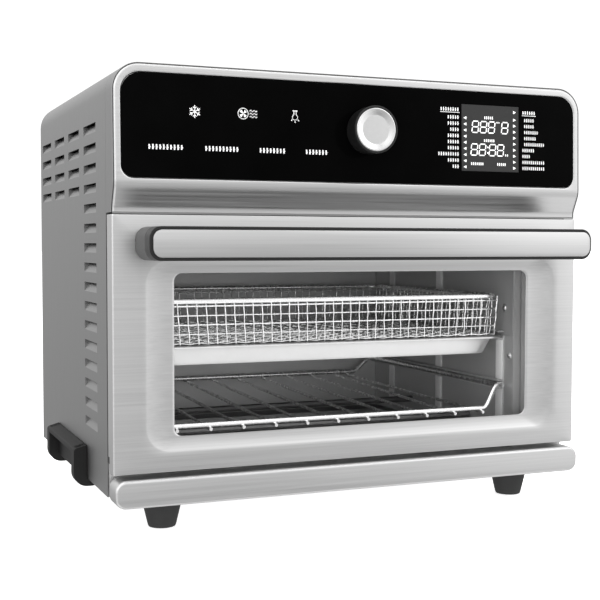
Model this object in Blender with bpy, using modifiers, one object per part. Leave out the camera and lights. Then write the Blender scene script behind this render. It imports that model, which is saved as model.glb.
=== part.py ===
"""A countertop toaster oven with a drop-down glass door, a touch and dial control panel, a fan in the
ceiling, an air-fry basket on a baking pan, a wire rack and a crumb tray that pulls out below the door.

Metres, +Z up. X runs to the right of someone facing the oven, and the feet stand on Z = 0. Every piece is
modelled in the oven's own frame, where Y = 0 is the door's outer face and Y grows towards the back, and the
empty "oven_frame" then centres the whole object on the origin.
"""

import math

import bmesh
import bpy
from mathutils import Matrix, Vector

# ---------------------------------------------------------------- driving dimensions
WIDTH = 0.430  # fascia and shell
HEIGHT = 0.3755  # floor to the top of the shell
BODY_DEPTH = 0.325  # door face to the back of the rear panel
HANDLE_REACH = 0.046  # door face to the front of the handle
INLET_REACH = 0.004  # how far the cord inlet stands out of the rear panel
SHEET = 0.0012  # sheet steel
GAP = 0.0003  # between pieces that touch

HALF = WIDTH / 2
TOP_RADIUS = 0.022
FOOT_HEIGHT = 0.0321
SHELL_LOW = FOOT_HEIGHT + GAP
SHELL_FRONT = 0.0195
FRAME_FRONT = 0.0180

DOOR_LOW, DOOR_HIGH = 0.0529, 0.2581
DOOR_DEPTH = 0.0160
WINDOW_HALF, WINDOW_LOW, WINDOW_HIGH = 0.165, 0.0808, 0.2118
SLOPE_HALF, SLOPE_MIDDLE, SLOPE_LOW, SLOPE_HIGH, SLOPE_DEPTH = 0.1915, 0.0025, 0.0690, 0.2225, 0.0022
HINGE_Y, HINGE_Z = 0.0060, 0.0609
HINGE_X = 0.190

FASCIA_LOW = 0.2594
FASCIA_TOP_Y, FASCIA_CHIN_Y = -0.0041, -0.0062  # the panel leans back a little
CHIN_HIGH, CHIN_LOW = 0.2845, 0.2640
GLASS_HALF, GLASS_LOW, GLASS_HIGH, GLASS_THICK = 0.208, 0.2864, 0.3677, 0.003
GLASS_CORNERS = (0.010, 0.016)  # radii of the lower and the upper corners
DISPLAY_LEFT, DISPLAY_RIGHT, DISPLAY_LOW, DISPLAY_HIGH = 0.0919, 0.1504, 0.2986, 0.3570
KNOB_X, KNOB_Z, KNOB_RADIUS = 0.0, 0.3291, 0.0196
KNOB_BACK_Y, KNOB_FRONT_Y = -0.0078, -0.0256
SHAFT_RADIUS, SHAFT_TIP = 0.003, 0.0190

CAVITY_LEFT, CAVITY_RIGHT = -0.1815, 0.1620
CAVITY_LOW, CAVITY_HIGH = 0.056, 0.254
CAVITY_BACK = 0.305
CAVITY_X = (CAVITY_LEFT + CAVITY_RIGHT) / 2
GUIDE_LEVELS = (0.1047, 0.1504)  # the heights of what slides in each pair of ledges
LEDGE_WIDTH = 0.006
LEDGE_FRONT = 0.035
RIB_WIDTH, RIB_PLACES = 0.012, (0.034, 0.150, 0.256)
RIB_LOW, RIB_TOPS = 0.062, (0.150, 0.248, 0.248)
FAN_X, FAN_Y = CAVITY_X, 0.155

BAR_LOW, BAR_HIGH, BAR_FRONT, BAR_BACK = 0.0273, 0.0497, -0.0080, 0.0140
TRAY_HALF, TRAY_LOW, TRAY_HIGH, TRAY_BACK = 0.168, 0.0420, 0.0480, 0.286

RACK_Z, RACK_FRONT, RACK_BACK = 0.0842, 0.030, 0.296
RACK_HALF, RACK_FLAT_HALF, RACK_PITCH, RACK_RODS = 0.1694, 0.1435, 0.0291, 11
RACK_STOP_Z, RACK_STOP_HALF = 0.0905, 0.1300  # the rear wire stands a little higher, as a stop
WIRE, ROD = 0.0024, 0.0015
PAN_RIM_Z, PAN_DEPTH, PAN_HALF, PAN_FRONT, PAN_BACK = 0.1504, 0.0158, 0.1685, 0.0235, 0.284
BASKET_RIM_Z, BASKET_LOW, BASKET_HALF = 0.1875, 0.1512, 0.1612
BASKET_FRONT, BASKET_BACK = 0.0270, 0.2840

FOOT_X, FOOT_MIDDLE_X, FOOT_INSET = 0.168, 0.0025, 0.038  # inset from the door face and from the rear panel

FACE_Y = -(HANDLE_REACH + BODY_DEPTH + INLET_REACH) / 2 + HANDLE_REACH

# name: (colour, roughness, metallic)
FINISHES = {
    "brushed_steel": ((0.62, 0.62, 0.61), 0.32, 1.0),
    "satin_steel": ((0.36, 0.36, 0.36), 0.42, 1.0),
    "zinc_steel": ((0.45, 0.45, 0.46), 0.45, 1.0),
    "wire_chrome": ((0.80, 0.80, 0.79), 0.16, 1.0),
    "pan_aluminium": ((0.78, 0.78, 0.77), 0.28, 1.0),
    "cavity_steel": ((0.30, 0.30, 0.30), 0.38, 1.0),
    "black_glass": ((0.008, 0.008, 0.009), 0.06, 0.0),
    "door_glass": ((0.10, 0.10, 0.11), 0.04, 0.0),
    "display": ((0.07, 0.07, 0.075), 0.18, 0.0),
    "black_plastic": ((0.015, 0.015, 0.016), 0.40, 0.0),
    "rubber": ((0.02, 0.02, 0.02), 0.75, 0.0),
    "heater_sheath": ((0.16, 0.15, 0.14), 0.50, 1.0),
    "circuit_board": ((0.04, 0.16, 0.08), 0.50, 0.0),
    "ceramic": ((0.82, 0.80, 0.76), 0.60, 0.0),
    "lamp_glass": ((0.85, 0.85, 0.82), 0.08, 0.0),
}


# ---------------------------------------------------------------- scene and materials
def clear_scene():
    for obj in list(bpy.data.objects):
        bpy.data.objects.remove(obj)


def new_collection(name):
    collection = bpy.data.collections.new(name)
    bpy.context.scene.collection.children.link(collection)
    return collection


def finish(name):
    material = bpy.data.materials.get(name)
    if material:
        return material
    colour, roughness, metallic = FINISHES[name]
    material = bpy.data.materials.new(name)
    material.use_nodes = True
    shader = material.node_tree.nodes["Principled BSDF"]
    shader.inputs["Base Color"].default_value = (*colour, 1)
    shader.inputs["Roughness"].default_value = roughness
    shader.inputs["Metallic"].default_value = metallic
    return material


def axis_empty(name, location, parent):
    empty = bpy.data.objects.new(name, None)
    empty.empty_display_size = 0.03
    empty.location = location
    empty.parent = parent
    PARTS.objects.link(empty)
    return empty


def add_object(name, mesh, material=None):
    """A piece in the oven's frame. Without a material it is a helper that only cuts or joins."""
    obj = bpy.data.objects.new(name, mesh)
    obj.parent = FRAME
    if material:
        mesh.materials.append(finish(material))
        PARTS.objects.link(obj)
    else:
        obj.hide_render = True
        obj.display_type = "WIRE"
        HELPERS.objects.link(obj)
    return obj


def ride(obj, pivot):
    """Parents a piece to the empty on its joint's axis, without moving the piece."""
    obj.parent = pivot
    obj.matrix_parent_inverse = Matrix.Translation(-pivot.location)


# ---------------------------------------------------------------- outlines
def rounded(corners, steps=5):
    """A closed outline from (x, y, radius) corners, with each radius drawn as an arc."""
    points = []
    for index, (x, y, radius) in enumerate(corners):
        corner = Vector((x, y))
        if not radius:
            points.append(corner)
            continue
        before = (Vector(corners[index - 1][:2]) - corner).normalized()
        after = (Vector(corners[(index + 1) % len(corners)][:2]) - corner).normalized()
        half = before.angle(after) / 2
        centre = corner + (before + after).normalized() * radius / math.sin(half)
        start = corner + before * radius / math.tan(half) - centre
        end = corner + after * radius / math.tan(half) - centre
        turn = start.angle(end)
        for step in range(steps + 1):
            part = turn * step / steps
            points.append(centre + (start * math.sin(turn - part) + end * math.sin(part)) / math.sin(turn))
    return points


def rectangle(left, right, low, high, low_radius=0.0, high_radius=None, steps=5):
    top = low_radius if high_radius is None else high_radius
    corners = [(left, low, low_radius), (right, low, low_radius), (right, high, top), (left, high, top)]
    return rounded(corners, steps)


def circle(x, y, radius, steps=24):
    turns = [2 * math.pi * step / steps for step in range(steps)]
    return [Vector((x + radius * math.cos(turn), y + radius * math.sin(turn))) for turn in turns]


# ---------------------------------------------------------------- solids
AXES = {
    "X": Matrix(((0, 0, 1, 0), (1, 0, 0, 0), (0, 1, 0, 0), (0, 0, 0, 1))),  # outline is (y, z)
    "Y": Matrix(((1, 0, 0, 0), (0, 0, -1, 0), (0, 1, 0, 0), (0, 0, 0, 1))),  # outline is (x, z)
    "Z": Matrix.Identity(4),  # outline is (x, y)
}


def curve_to_mesh(name, splines, matrix, closed, **settings):
    """Draws POLY splines on a curve with these settings, and returns its mesh with the caps welded."""
    curve = bpy.data.curves.new(name, "CURVE")
    for key, value in settings.items():
        setattr(curve, key, value)
    for points in splines:
        spline = curve.splines.new("POLY")
        spline.points.add(len(points) - 1)
        for target, point in zip(spline.points, points):
            target.co = (*Vector(point).to_3d(), 1)
        spline.use_cyclic_u = closed
    guide = bpy.data.objects.new(name, curve)
    HELPERS.objects.link(guide)
    evaluated = guide.evaluated_get(bpy.context.evaluated_depsgraph_get())
    mesh = bpy.data.meshes.new_from_object(evaluated)
    bpy.data.objects.remove(guide)
    bpy.data.curves.remove(curve)
    bm = bmesh.new()
    bm.from_mesh(mesh)
    bmesh.ops.remove_doubles(bm, verts=bm.verts, dist=1e-6)
    bm.transform(matrix)
    bmesh.ops.recalc_face_normals(bm, faces=bm.faces)
    bm.to_mesh(mesh)
    bm.free()
    return mesh


def slab(name, outlines, low, high, axis, material=None):
    """A flat piece from low to high along an axis. The first outline is its outside, and others are holes."""
    along = {"X": (1, 0, 0), "Y": (0, 1, 0), "Z": (0, 0, 1)}[axis]
    matrix = Matrix.Translation(Vector(along) * (low + high) / 2) @ AXES[axis]
    settings = {"dimensions": "2D", "fill_mode": "BOTH", "extrude": (high - low) / 2}
    return add_object(name, curve_to_mesh(name, outlines, matrix, True, **settings), material)


def tube(name, points, radius, material=None, closed=False, resolution=2):
    settings = {
        "dimensions": "3D",
        "bevel_depth": radius,
        "bevel_resolution": resolution,
        "use_fill_caps": True,
    }
    mesh = curve_to_mesh(name, [points], Matrix.Identity(4), closed, **settings)
    mesh.shade_smooth()
    return add_object(name, mesh, material)


def boxes(name, corner_pairs, material=None):
    """Boxes, each from its lowest to its highest corner, in one mesh."""
    bm = bmesh.new()
    for low, high in corner_pairs:
        low, high = Vector(low), Vector(high)
        place = Matrix.Translation((low + high) / 2) @ Matrix.Diagonal((*(high - low), 1))
        bmesh.ops.create_cube(bm, size=1, matrix=place)
    mesh = bpy.data.meshes.new(name)
    bm.to_mesh(mesh)
    bm.free()
    return add_object(name, mesh, material)


def turned(name, profile, place, axis, material=None, steps=24, ring=False):
    """A profile of (radius, height) points turned about an axis. Height runs right, forwards or up."""
    mesh = bpy.data.meshes.new(name)
    count = len(profile)
    edges = [(index, index + 1) for index in range(count - 1)] + ([(count - 1, 0)] if ring else [])
    mesh.from_pydata([(radius, 0, height) for radius, height in profile], edges, [])
    obj = add_object(name, mesh, material)
    obj.matrix_basis = Matrix.Translation(place) @ AXES[axis]
    screw = obj.modifiers.new("turn", "SCREW")
    screw.axis = "Z"
    screw.steps = screw.render_steps = steps
    screw.use_merge_vertices = True
    screw.merge_threshold = 0.00001
    return obj


def loft(loops, caps):
    """A mesh through closed loops of points with the same count, with the loops at these places filled."""
    bm = bmesh.new()
    rings = [[bm.verts.new(point) for point in loop] for loop in loops]
    for lower, upper in zip(rings, rings[1:]):
        for index in range(len(lower)):
            bm.faces.new((lower[index - 1], lower[index], upper[index], upper[index - 1]))
    for cap in caps:
        bm.faces.new(rings[cap])
    bmesh.ops.recalc_face_normals(bm, faces=bm.faces)
    mesh = bpy.data.meshes.new("loft")
    bm.to_mesh(mesh)
    bm.free()
    return mesh


def pressed_tray(name, loops, thickness, material):
    """An open tray of thin sheet whose last loop is its floor."""
    obj = add_object(name, loft(loops, [-1]), material)
    solidify = obj.modifiers.new("thickness", "SOLIDIFY")
    solidify.thickness = thickness
    solidify.offset = 0
    solidify.use_even_offset = True
    return obj


def combine(obj, helper, operation):
    modifier = obj.modifiers.new(helper.name, "BOOLEAN")
    modifier.operation = operation
    modifier.solver = "EXACT"
    modifier.object = helper
    return obj


def cut(obj, *helpers):
    for helper in helpers:
        combine(obj, helper, "DIFFERENCE")
    return obj


def fuse(obj, *helpers):
    for helper in helpers:
        combine(obj, helper, "UNION")
    return obj


# ---------------------------------------------------------------- casing
def arch(half, low, high, radius):
    """The front view of the casing, from its lower left corner: square below and rounded above."""
    return rectangle(-half, half, low, high, 0.0, radius, steps=8)


def louvre_slots(side):
    """Slots for both vent fields: four columns of four rows, and the front column down to the bottom."""
    length, height, row_pitch, column_pitch = 0.050, 0.0038, 0.0165, 0.0695
    front, top = 0.0565, 0.3343
    columns, long_rows, short_rows = 4, 16, 4
    wall = sorted((side * (HALF + 0.002), side * (HALF - 0.004)))
    slots = []
    for column in range(columns):
        for row in range(long_rows if column == 0 else short_rows):
            y = front + column * column_pitch
            z = top - row * row_pitch
            slots.append(((wall[0], y, z - height), (wall[1], y + length, z)))
    return slots


def outer_shell():
    inside = list(reversed(arch(HALF - SHEET, SHELL_LOW, HEIGHT - SHEET, TOP_RADIUS - SHEET)))
    outside = arch(HALF, SHELL_LOW, HEIGHT, TOP_RADIUS)
    # The outline runs over the outside from its lower right corner, and back along the inside.
    over = outside[1:] + outside[:1]
    under = inside[-1:] + inside[:-1]
    wrap = slab("outer_shell", [over + under], SHELL_FRONT, BODY_DEPTH - SHEET - GAP, "Y", "satin_steel")
    return cut(wrap, boxes("slots_left", louvre_slots(-1)), boxes("slots_right", louvre_slots(1)))


INLET_X, INLET_Z, INLET_RADIUS = 0.172, 0.078, 0.008


def rear_panel():
    inlet_hole = circle(INLET_X, INLET_Z, INLET_RADIUS + GAP)
    outline = arch(HALF, SHELL_LOW, HEIGHT, TOP_RADIUS)
    panel = slab("rear_panel", [outline, inlet_hole], BODY_DEPTH - SHEET, BODY_DEPTH, "Y", "satin_steel")
    slots = []
    columns, pitch, width, half_height = 18, 0.0165, 0.006, 0.012
    for middle in (0.262, 0.300, 0.338):
        for column in range(columns):
            left = (column - (columns - 1) / 2) * pitch - width / 2
            low = (left, BODY_DEPTH - 0.005, middle - half_height)
            high = (left + width, BODY_DEPTH + 0.005, middle + half_height)
            slots.append((low, high))
    return cut(panel, boxes("rear_slots", slots))


def cord_inlet():
    """A grommet whose flange stands behind the panel and whose neck passes through it."""
    bore, flange = 0.0038, 0.0115
    behind, inside = INLET_REACH, -0.006
    profile = [
        (bore, behind),
        (flange - 0.001, behind),
        (flange, behind - 0.001),
        (flange, GAP),
        (INLET_RADIUS, GAP),
        (INLET_RADIUS, inside),
        (bore, inside),
    ]
    inlet = turned("cord_inlet", profile, (INLET_X, BODY_DEPTH, INLET_Z), "Y", "black_plastic", 20, ring=True)
    inlet.matrix_basis = inlet.matrix_basis @ Matrix.Rotation(math.pi, 4, "X")
    return inlet


def base_plate():
    """A floor with turned-up edges, two rails under the crumb tray and two rows of air slots."""
    half, back = HALF - SHEET - GAP, BODY_DEPTH - SHEET - GAP - 0.0002
    low, flange = SHELL_LOW, 0.010
    plate = boxes("base_plate", [((-half, SHELL_FRONT, low), (half, back, low + flange))], "zinc_steel")
    well = ((-half + SHEET, SHELL_FRONT - 0.01, low + SHEET), (half - SHEET, back - SHEET, low + 0.02))
    rail_x, rail_half, rail_top = 0.140, 0.003, TRAY_LOW - GAP
    rails = [
        ((x - rail_half, 0.030, low + SHEET / 2), (x + rail_half, 0.290, rail_top))
        for x in (CAVITY_X - rail_x, CAVITY_X + rail_x)
    ]
    columns, pitch, width, length = 8, 0.032, 0.006, 0.045
    slots = []
    for column in range(columns):
        left = -0.12 + column * pitch
        for y in (0.090, 0.190):
            slots.append(((left, y, low - 0.01), (left + width, y + length, low + 0.003)))
    cut(plate, boxes("base_well", [well]))
    fuse(plate, boxes("tray_rails", rails))
    return cut(plate, boxes("base_slots", slots))


def front_frame():
    """The plate behind the door, with the cavity's mouth and the slot that the crumb tray slides through."""
    half, slot_half = HALF - SHEET, TRAY_HALF + 0.003
    outside = rectangle(-half, half, SHELL_LOW + GAP, FASCIA_LOW - GAP * 2)
    mouth = rectangle(CAVITY_LEFT, CAVITY_RIGHT, CAVITY_LOW, CAVITY_HIGH, 0.004)
    slot = rectangle(CAVITY_X - slot_half, CAVITY_X + slot_half, 0.0385, 0.0510, 0.001)
    return slab("front_frame", [outside, mouth, slot], FRAME_FRONT, FRAME_FRONT + SHEET, "Y", "cavity_steel")


def foot(name, x, y):
    low, high, edge = 0.0115, 0.0185, 0.0015
    profile = [(0, FOOT_HEIGHT), (high, FOOT_HEIGHT), (low + edge / 2, edge), (low - edge / 2, 0), (0, 0)]
    return turned(name, profile, (x, y, 0), "Z", "rubber", 20)


def side_handle(name, side):
    """A grip on a back plate, open below so that fingers reach in between its two ends."""
    front, back, end = 0.099, 0.2325, 0.0115
    inner, outer, under = HALF + GAP, HALF + 0.012, HALF - 0.009
    top, shoulder, lip, bottom = 0.0615, 0.0585, 0.0540, 0.0255
    wall = 0.0025

    def mirrored(corners):
        return rounded([(side * x, z, radius) for x, z, radius in corners])

    end_outline = [
        (inner, top, 0),
        (outer, shoulder, 0.0025),
        (outer, bottom, 0.0118),
        (under, bottom, 0.002),
        (under, SHELL_LOW - GAP, 0),
        (inner, SHELL_LOW - GAP, 0),
    ]
    grip_outline = [
        (inner, top, 0),
        (outer, shoulder, 0.0025),
        (outer, lip, 0.0008),
        (outer - wall, lip, 0.0008),
        (outer - wall, shoulder - wall, 0.001),
        (inner + wall / 2, top - wall * 1.4, 0),
        (inner, top - wall * 1.4, 0),
    ]
    plate_left, plate_right = sorted((side * inner, side * (inner + wall)))
    plate = ((plate_left, front, SHELL_LOW), (plate_right, back, top - 0.002))
    handle = slab(name, [mirrored(end_outline)], front, front + end, "Y", "black_plastic")
    return fuse(
        handle,
        slab(name + "_rear_end", [mirrored(end_outline)], back - end, back, "Y"),
        boxes(name + "_back", [plate]),
        slab(name + "_grip", [mirrored(grip_outline)], front, back, "Y"),
    )


# ---------------------------------------------------------------- control panel
LEAN = math.atan2(FASCIA_TOP_Y - FASCIA_CHIN_Y, HEIGHT - 0.004 - CHIN_HIGH)


def lean(obj, depth):
    """Tilts a piece modelled upright on Y = 0 into the plane of the fascia, this far behind its face."""
    foot_of_plane = Vector((0, FASCIA_CHIN_Y + depth, CHIN_HIGH))
    tilt = Matrix.Translation(foot_of_plane) @ Matrix.Rotation(-LEAN, 4, "X")
    obj.matrix_basis = tilt @ Matrix.Translation((0, 0, -CHIN_HIGH)) @ obj.matrix_basis
    return obj


def fascia_profile(inset, back):
    """The side view: a leaning face, and a chin that curves back to a lip above the door."""
    corners = [
        (back, FASCIA_LOW + inset, 0),
        (0.0015 + inset, FASCIA_LOW + inset, 0.0008),
        (0.0015 + inset, CHIN_LOW, 0.003),
        (FASCIA_CHIN_Y + inset, CHIN_HIGH - 0.004, 0.005),
        (FASCIA_TOP_Y + inset, HEIGHT - inset, 0.0040),
        (back, HEIGHT - inset, 0),
    ]
    return rounded(corners)


def glass_outline(grown):
    half = GLASS_HALF + grown
    return rectangle(-half, half, GLASS_LOW - grown, GLASS_HIGH + grown, *GLASS_CORNERS)


def control_fascia():
    back, wall = FRAME_FRONT + SHEET, 0.0018
    fascia = slab("control_fascia", [fascia_profile(0, back)], -HALF, HALF, "X", "brushed_steel")
    front_view = arch(HALF, FASCIA_LOW - 0.01, HEIGHT, TOP_RADIUS)
    inner_view = arch(HALF - wall, FASCIA_LOW - 0.01, HEIGHT - wall, TOP_RADIUS - wall)
    pocket = slab("fascia_pocket", [fascia_profile(wall, back + 0.01)], -0.3, 0.3, "X")
    combine(pocket, slab("pocket_view", [inner_view], -0.05, 0.05, "Y"), "INTERSECT")
    combine(fascia, slab("fascia_view", [front_view], -0.05, 0.05, "Y"), "INTERSECT")
    hole = lean(slab("glass_opening", [glass_outline(GAP + 0.0001)], -0.02, 0.012, "Y"), 0)
    return cut(fascia, pocket, hole)


def control_glass():
    display = rectangle(DISPLAY_LEFT, DISPLAY_RIGHT, DISPLAY_LOW, DISPLAY_HIGH)
    shaft_hole = circle(KNOB_X, KNOB_Z, SHAFT_RADIUS + 0.002)
    outlines = [glass_outline(0), display, shaft_hole]
    return lean(slab("control_glass", outlines, 0, GLASS_THICK, "Y", "black_glass"), 0)


def display_module():
    outline = rectangle(DISPLAY_LEFT + GAP, DISPLAY_RIGHT - GAP, DISPLAY_LOW + GAP, DISPLAY_HIGH - GAP)
    return lean(slab("display_module", [outline], 0.0002, GLASS_THICK + 0.001, "Y", "display"), 0)


def control_board():
    outline = rectangle(-0.190, 0.195, 0.294, 0.362)
    shaft_hole = circle(KNOB_X, KNOB_Z, SHAFT_RADIUS + 0.0015)
    return slab("control_board", [outline, shaft_hole], 0.0012, 0.0028, "Y", "circuit_board")


def dial_encoder():
    half = 0.007
    outline = rectangle(KNOB_X - half, KNOB_X + half, KNOB_Z - half, KNOB_Z + half)
    bore = circle(KNOB_X, KNOB_Z, SHAFT_RADIUS + 0.0004)
    return slab("dial_encoder", [outline, bore], 0.0032, 0.0110, "Y", "zinc_steel")


def encoder_shaft():
    radius, tip, back, edge = SHAFT_RADIUS, SHAFT_TIP, -0.0085, 0.0004
    profile = [(0, tip), (radius - edge, tip), (radius, tip - edge), (radius, back), (0, back)]
    return turned("encoder_shaft", profile, (KNOB_X, 0, KNOB_Z), "Y", "zinc_steel", 16)


CAP_RADIUS, CAP_RECESS, CAP_DISH = 0.0181, 0.0016, 0.0007


def control_knob():
    """The black body: a bore for the shaft behind, and a shallow seat for the metal cap in front."""
    radius, bore, bore_end = KNOB_RADIUS, SHAFT_RADIUS + GAP, SHAFT_TIP + GAP
    front, back = -KNOB_FRONT_Y, -KNOB_BACK_Y
    seat, edge = front - CAP_RECESS, 0.0004
    profile = [
        (0, seat),
        (CAP_RADIUS, seat),
        (CAP_RADIUS, front),
        (radius - edge, front),
        (radius, front - edge),
        (radius, back),
        (bore, back),
        (bore, bore_end),
        (0, bore_end),
    ]
    return turned("control_knob", profile, (KNOB_X, 0, KNOB_Z), "Y", "black_plastic", 40)


def knob_cap():
    """A dished metal disc whose flat middle lies deeper than its rim."""
    radius, flat, edge = CAP_RADIUS - GAP, 0.0108, 0.0004
    rim, middle, seat = -KNOB_FRONT_Y, -KNOB_FRONT_Y - CAP_DISH, -KNOB_FRONT_Y - CAP_RECESS + GAP
    profile = [(0, middle), (flat, middle), (radius - edge, rim), (radius, rim - edge)]
    profile += [(radius, seat), (0, seat)]
    return turned("knob_cap", profile, (KNOB_X, 0, KNOB_Z), "Y", "brushed_steel", 40)


# ---------------------------------------------------------------- cooking cavity
def cavity_side(name, side):
    """A side wall with two pairs of guide ledges and three upright ribs, the front one short."""
    inner = CAVITY_RIGHT if side > 0 else CAVITY_LEFT
    front, back = SHELL_FRONT, CAVITY_BACK + SHEET

    def on_wall(out, into, y0, y1, z0, z1):
        """A box from out outside the inner face to into the cavity."""
        faces = sorted((inner + side * out, inner - side * into))
        return ((faces[0], y0, z0), (faces[1], y1, z1))

    low, high = CAVITY_LOW, CAVITY_HIGH
    wall = boxes(name, [on_wall(SHEET, 0, front, back, low, high)], "cavity_steel")
    half_groove, ledge = 0.0042, 0.0014
    ledges = []
    for level in GUIDE_LEVELS:
        for low_z in (level - half_groove, level + half_groove - ledge):
            ledges.append(on_wall(SHEET / 2, LEDGE_WIDTH, LEDGE_FRONT, back - 0.003, low_z, low_z + ledge))
    proud = 0.0012
    ribs = [on_wall(SHEET / 2, proud, y, y + RIB_WIDTH, RIB_LOW, top) for y, top in zip(RIB_PLACES, RIB_TOPS)]
    return fuse(wall, boxes(name + "_ledges", ledges), boxes(name + "_ribs", ribs))


def cavity_back():
    outline = rectangle(CAVITY_LEFT + GAP, CAVITY_RIGHT - GAP, CAVITY_LOW, CAVITY_HIGH)
    return slab("cavity_back", [outline], CAVITY_BACK, CAVITY_BACK + SHEET, "Y", "cavity_steel")


def cavity_ceiling():
    front, back = SHELL_FRONT, CAVITY_BACK + SHEET
    outline = rectangle(CAVITY_LEFT - SHEET, CAVITY_RIGHT + SHEET, front, back)
    throat = circle(FAN_X, FAN_Y, 0.064, 32)
    low = CAVITY_HIGH + GAP
    return slab("cavity_ceiling", [outline, throat], low, low + SHEET, "Z", "cavity_steel")


def cavity_floor():
    front, back = SHELL_FRONT, CAVITY_BACK + SHEET
    outline = rectangle(CAVITY_LEFT - SHEET, CAVITY_RIGHT + SHEET, front, back)
    drop = rectangle(CAVITY_X - 0.158, CAVITY_X + 0.158, 0.036, 0.276, 0.006)
    high = CAVITY_LOW - GAP
    return slab("cavity_floor", [outline, drop], high - SHEET, high, "Z", "cavity_steel")


def heater(name, y, z, legs):
    """A tubular heater from wall to wall. With two legs it is a hairpin that turns near the left wall."""
    radius, clear, spread = 0.0034, 0.0006, 0.020
    right = CAVITY_RIGHT - clear
    left = CAVITY_LEFT + clear
    if legs == 1:
        return tube(name, [(left, y, z), (right, y, z)], radius, "heater_sheath")
    bend_x = left + 0.030
    points = [(right, y - spread, z)]
    for step in range(9):
        turn = math.pi * step / 8
        points.append((bend_x - spread * math.sin(turn), y - spread * math.cos(turn), z))
    points.append((right, y + spread, z))
    return tube(name, points, radius, "heater_sheath")


def guide_rivet(name, y, z):
    """A domed rivet that holds the guide ledges to the right wall."""
    proud = 0.0018
    profile = [(0, proud), (0.0018, proud * 0.85), (0.0031, proud * 0.35), (0.0034, 0), (0, 0)]
    rivet = turned(name, profile, (CAVITY_RIGHT - GAP, y, z), "X", "wire_chrome", 12)
    rivet.matrix_basis = rivet.matrix_basis @ Matrix.Rotation(math.pi, 4, "X")
    return rivet


FAN_LOW, FAN_HIGH = 0.2585, 0.2720


def fan_guard():
    """A round grille under the fan's opening, with slots that run outwards."""
    radius, thickness = 0.072, 0.0012
    high = CAVITY_HIGH - GAP
    guard = slab("fan_guard", [circle(FAN_X, FAN_Y, radius, 40)], high - thickness, high, "Z", "cavity_steel")
    bm = bmesh.new()
    for inner, outer, count, width in ((0.014, 0.032, 10, 0.0045), (0.037, 0.060, 20, 0.0055)):
        for index in range(count):
            turn = Matrix.Rotation(2 * math.pi * index / count, 4, "Z")
            place = Matrix.Translation((FAN_X, FAN_Y, high)) @ turn
            place = place @ Matrix.Translation(((inner + outer) / 2, 0, 0))
            bmesh.ops.create_cube(bm, size=1, matrix=place @ Matrix.Diagonal((outer - inner, width, 0.01, 1)))
    mesh = bpy.data.meshes.new("guard_slots")
    bm.to_mesh(mesh)
    bm.free()
    return cut(guard, add_object("guard_slots", mesh))


def fan_blade():
    """A disc with swept vanes below it and a hub around the shaft."""
    disc, vanes = 0.0012, 10
    rim, hub = circle(FAN_X, FAN_Y, 0.056, 40), circle(FAN_X, FAN_Y, 0.009, 20)
    bore = circle(FAN_X, FAN_Y, 0.0028, 16)
    blade = slab("fan_blade", [rim], FAN_HIGH - disc, FAN_HIGH, "Z", "zinc_steel")
    bm = bmesh.new()
    for index in range(vanes):
        turn = Matrix.Rotation(2 * math.pi * index / vanes, 4, "Z")
        sweep = Matrix.Translation((0.036, 0, 0)) @ Matrix.Rotation(math.radians(28), 4, "Z")
        size = Matrix.Diagonal((0.034, 0.0012, FAN_HIGH - FAN_LOW - disc / 2, 1))
        place = Matrix.Translation((FAN_X, FAN_Y, (FAN_LOW + FAN_HIGH - disc / 2) / 2))
        bmesh.ops.create_cube(bm, size=1, matrix=place @ turn @ sweep @ size)
    mesh = bpy.data.meshes.new("fan_vanes")
    bm.to_mesh(mesh)
    bm.free()
    fuse(blade, add_object("fan_vanes", mesh))
    fuse(blade, slab("fan_hub", [hub], FAN_LOW + 0.003, FAN_HIGH + 0.002, "Z"))
    return cut(blade, slab("hub_bore", [bore], FAN_LOW - 0.01, FAN_HIGH + 0.01, "Z"))


def fan_shaft():
    low, high, radius, edge = FAN_LOW + 0.0015, 0.3160, 0.0025, 0.0004
    profile = [(0, high), (radius - edge, high), (radius, high - edge), (radius, low), (0, low)]
    return turned("fan_shaft", profile, (FAN_X, FAN_Y, 0), "Z", "wire_chrome", 12)


HOUSING_LOW, HOUSING_HIGH = CAVITY_HIGH + GAP + SHEET + GAP, 0.2800


def fan_housing():
    """An upturned cup over the fan, open below and bored for the shaft."""
    outer, flange, bore = 0.0625, 0.072, 0.0045
    low, high = HOUSING_LOW, HOUSING_HIGH
    profile = [
        (bore, high),
        (outer, high),
        (outer, low + SHEET),
        (flange, low + SHEET),
        (flange, low),
        (outer - SHEET, low),
        (outer - SHEET, high - SHEET),
        (bore, high - SHEET),
    ]
    return turned("fan_housing", profile, (FAN_X, FAN_Y, 0), "Z", "zinc_steel", 32, ring=True)


def fan_motor():
    """The motor, bored for the shaft, on the fan housing."""
    radius, bore = 0.027, 0.0029
    low, high = HOUSING_HIGH + GAP, 0.3180
    profile = [
        (bore, high),
        (0.010, high),
        (0.010, high - 0.004),
        (radius, high - 0.004),
        (radius, low),
        (bore, low),
    ]
    return turned("fan_motor", profile, (FAN_X, FAN_Y, 0), "Z", "zinc_steel", 28, ring=True)


LAMP_Y, LAMP_Z = 0.213, 0.2225


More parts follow.
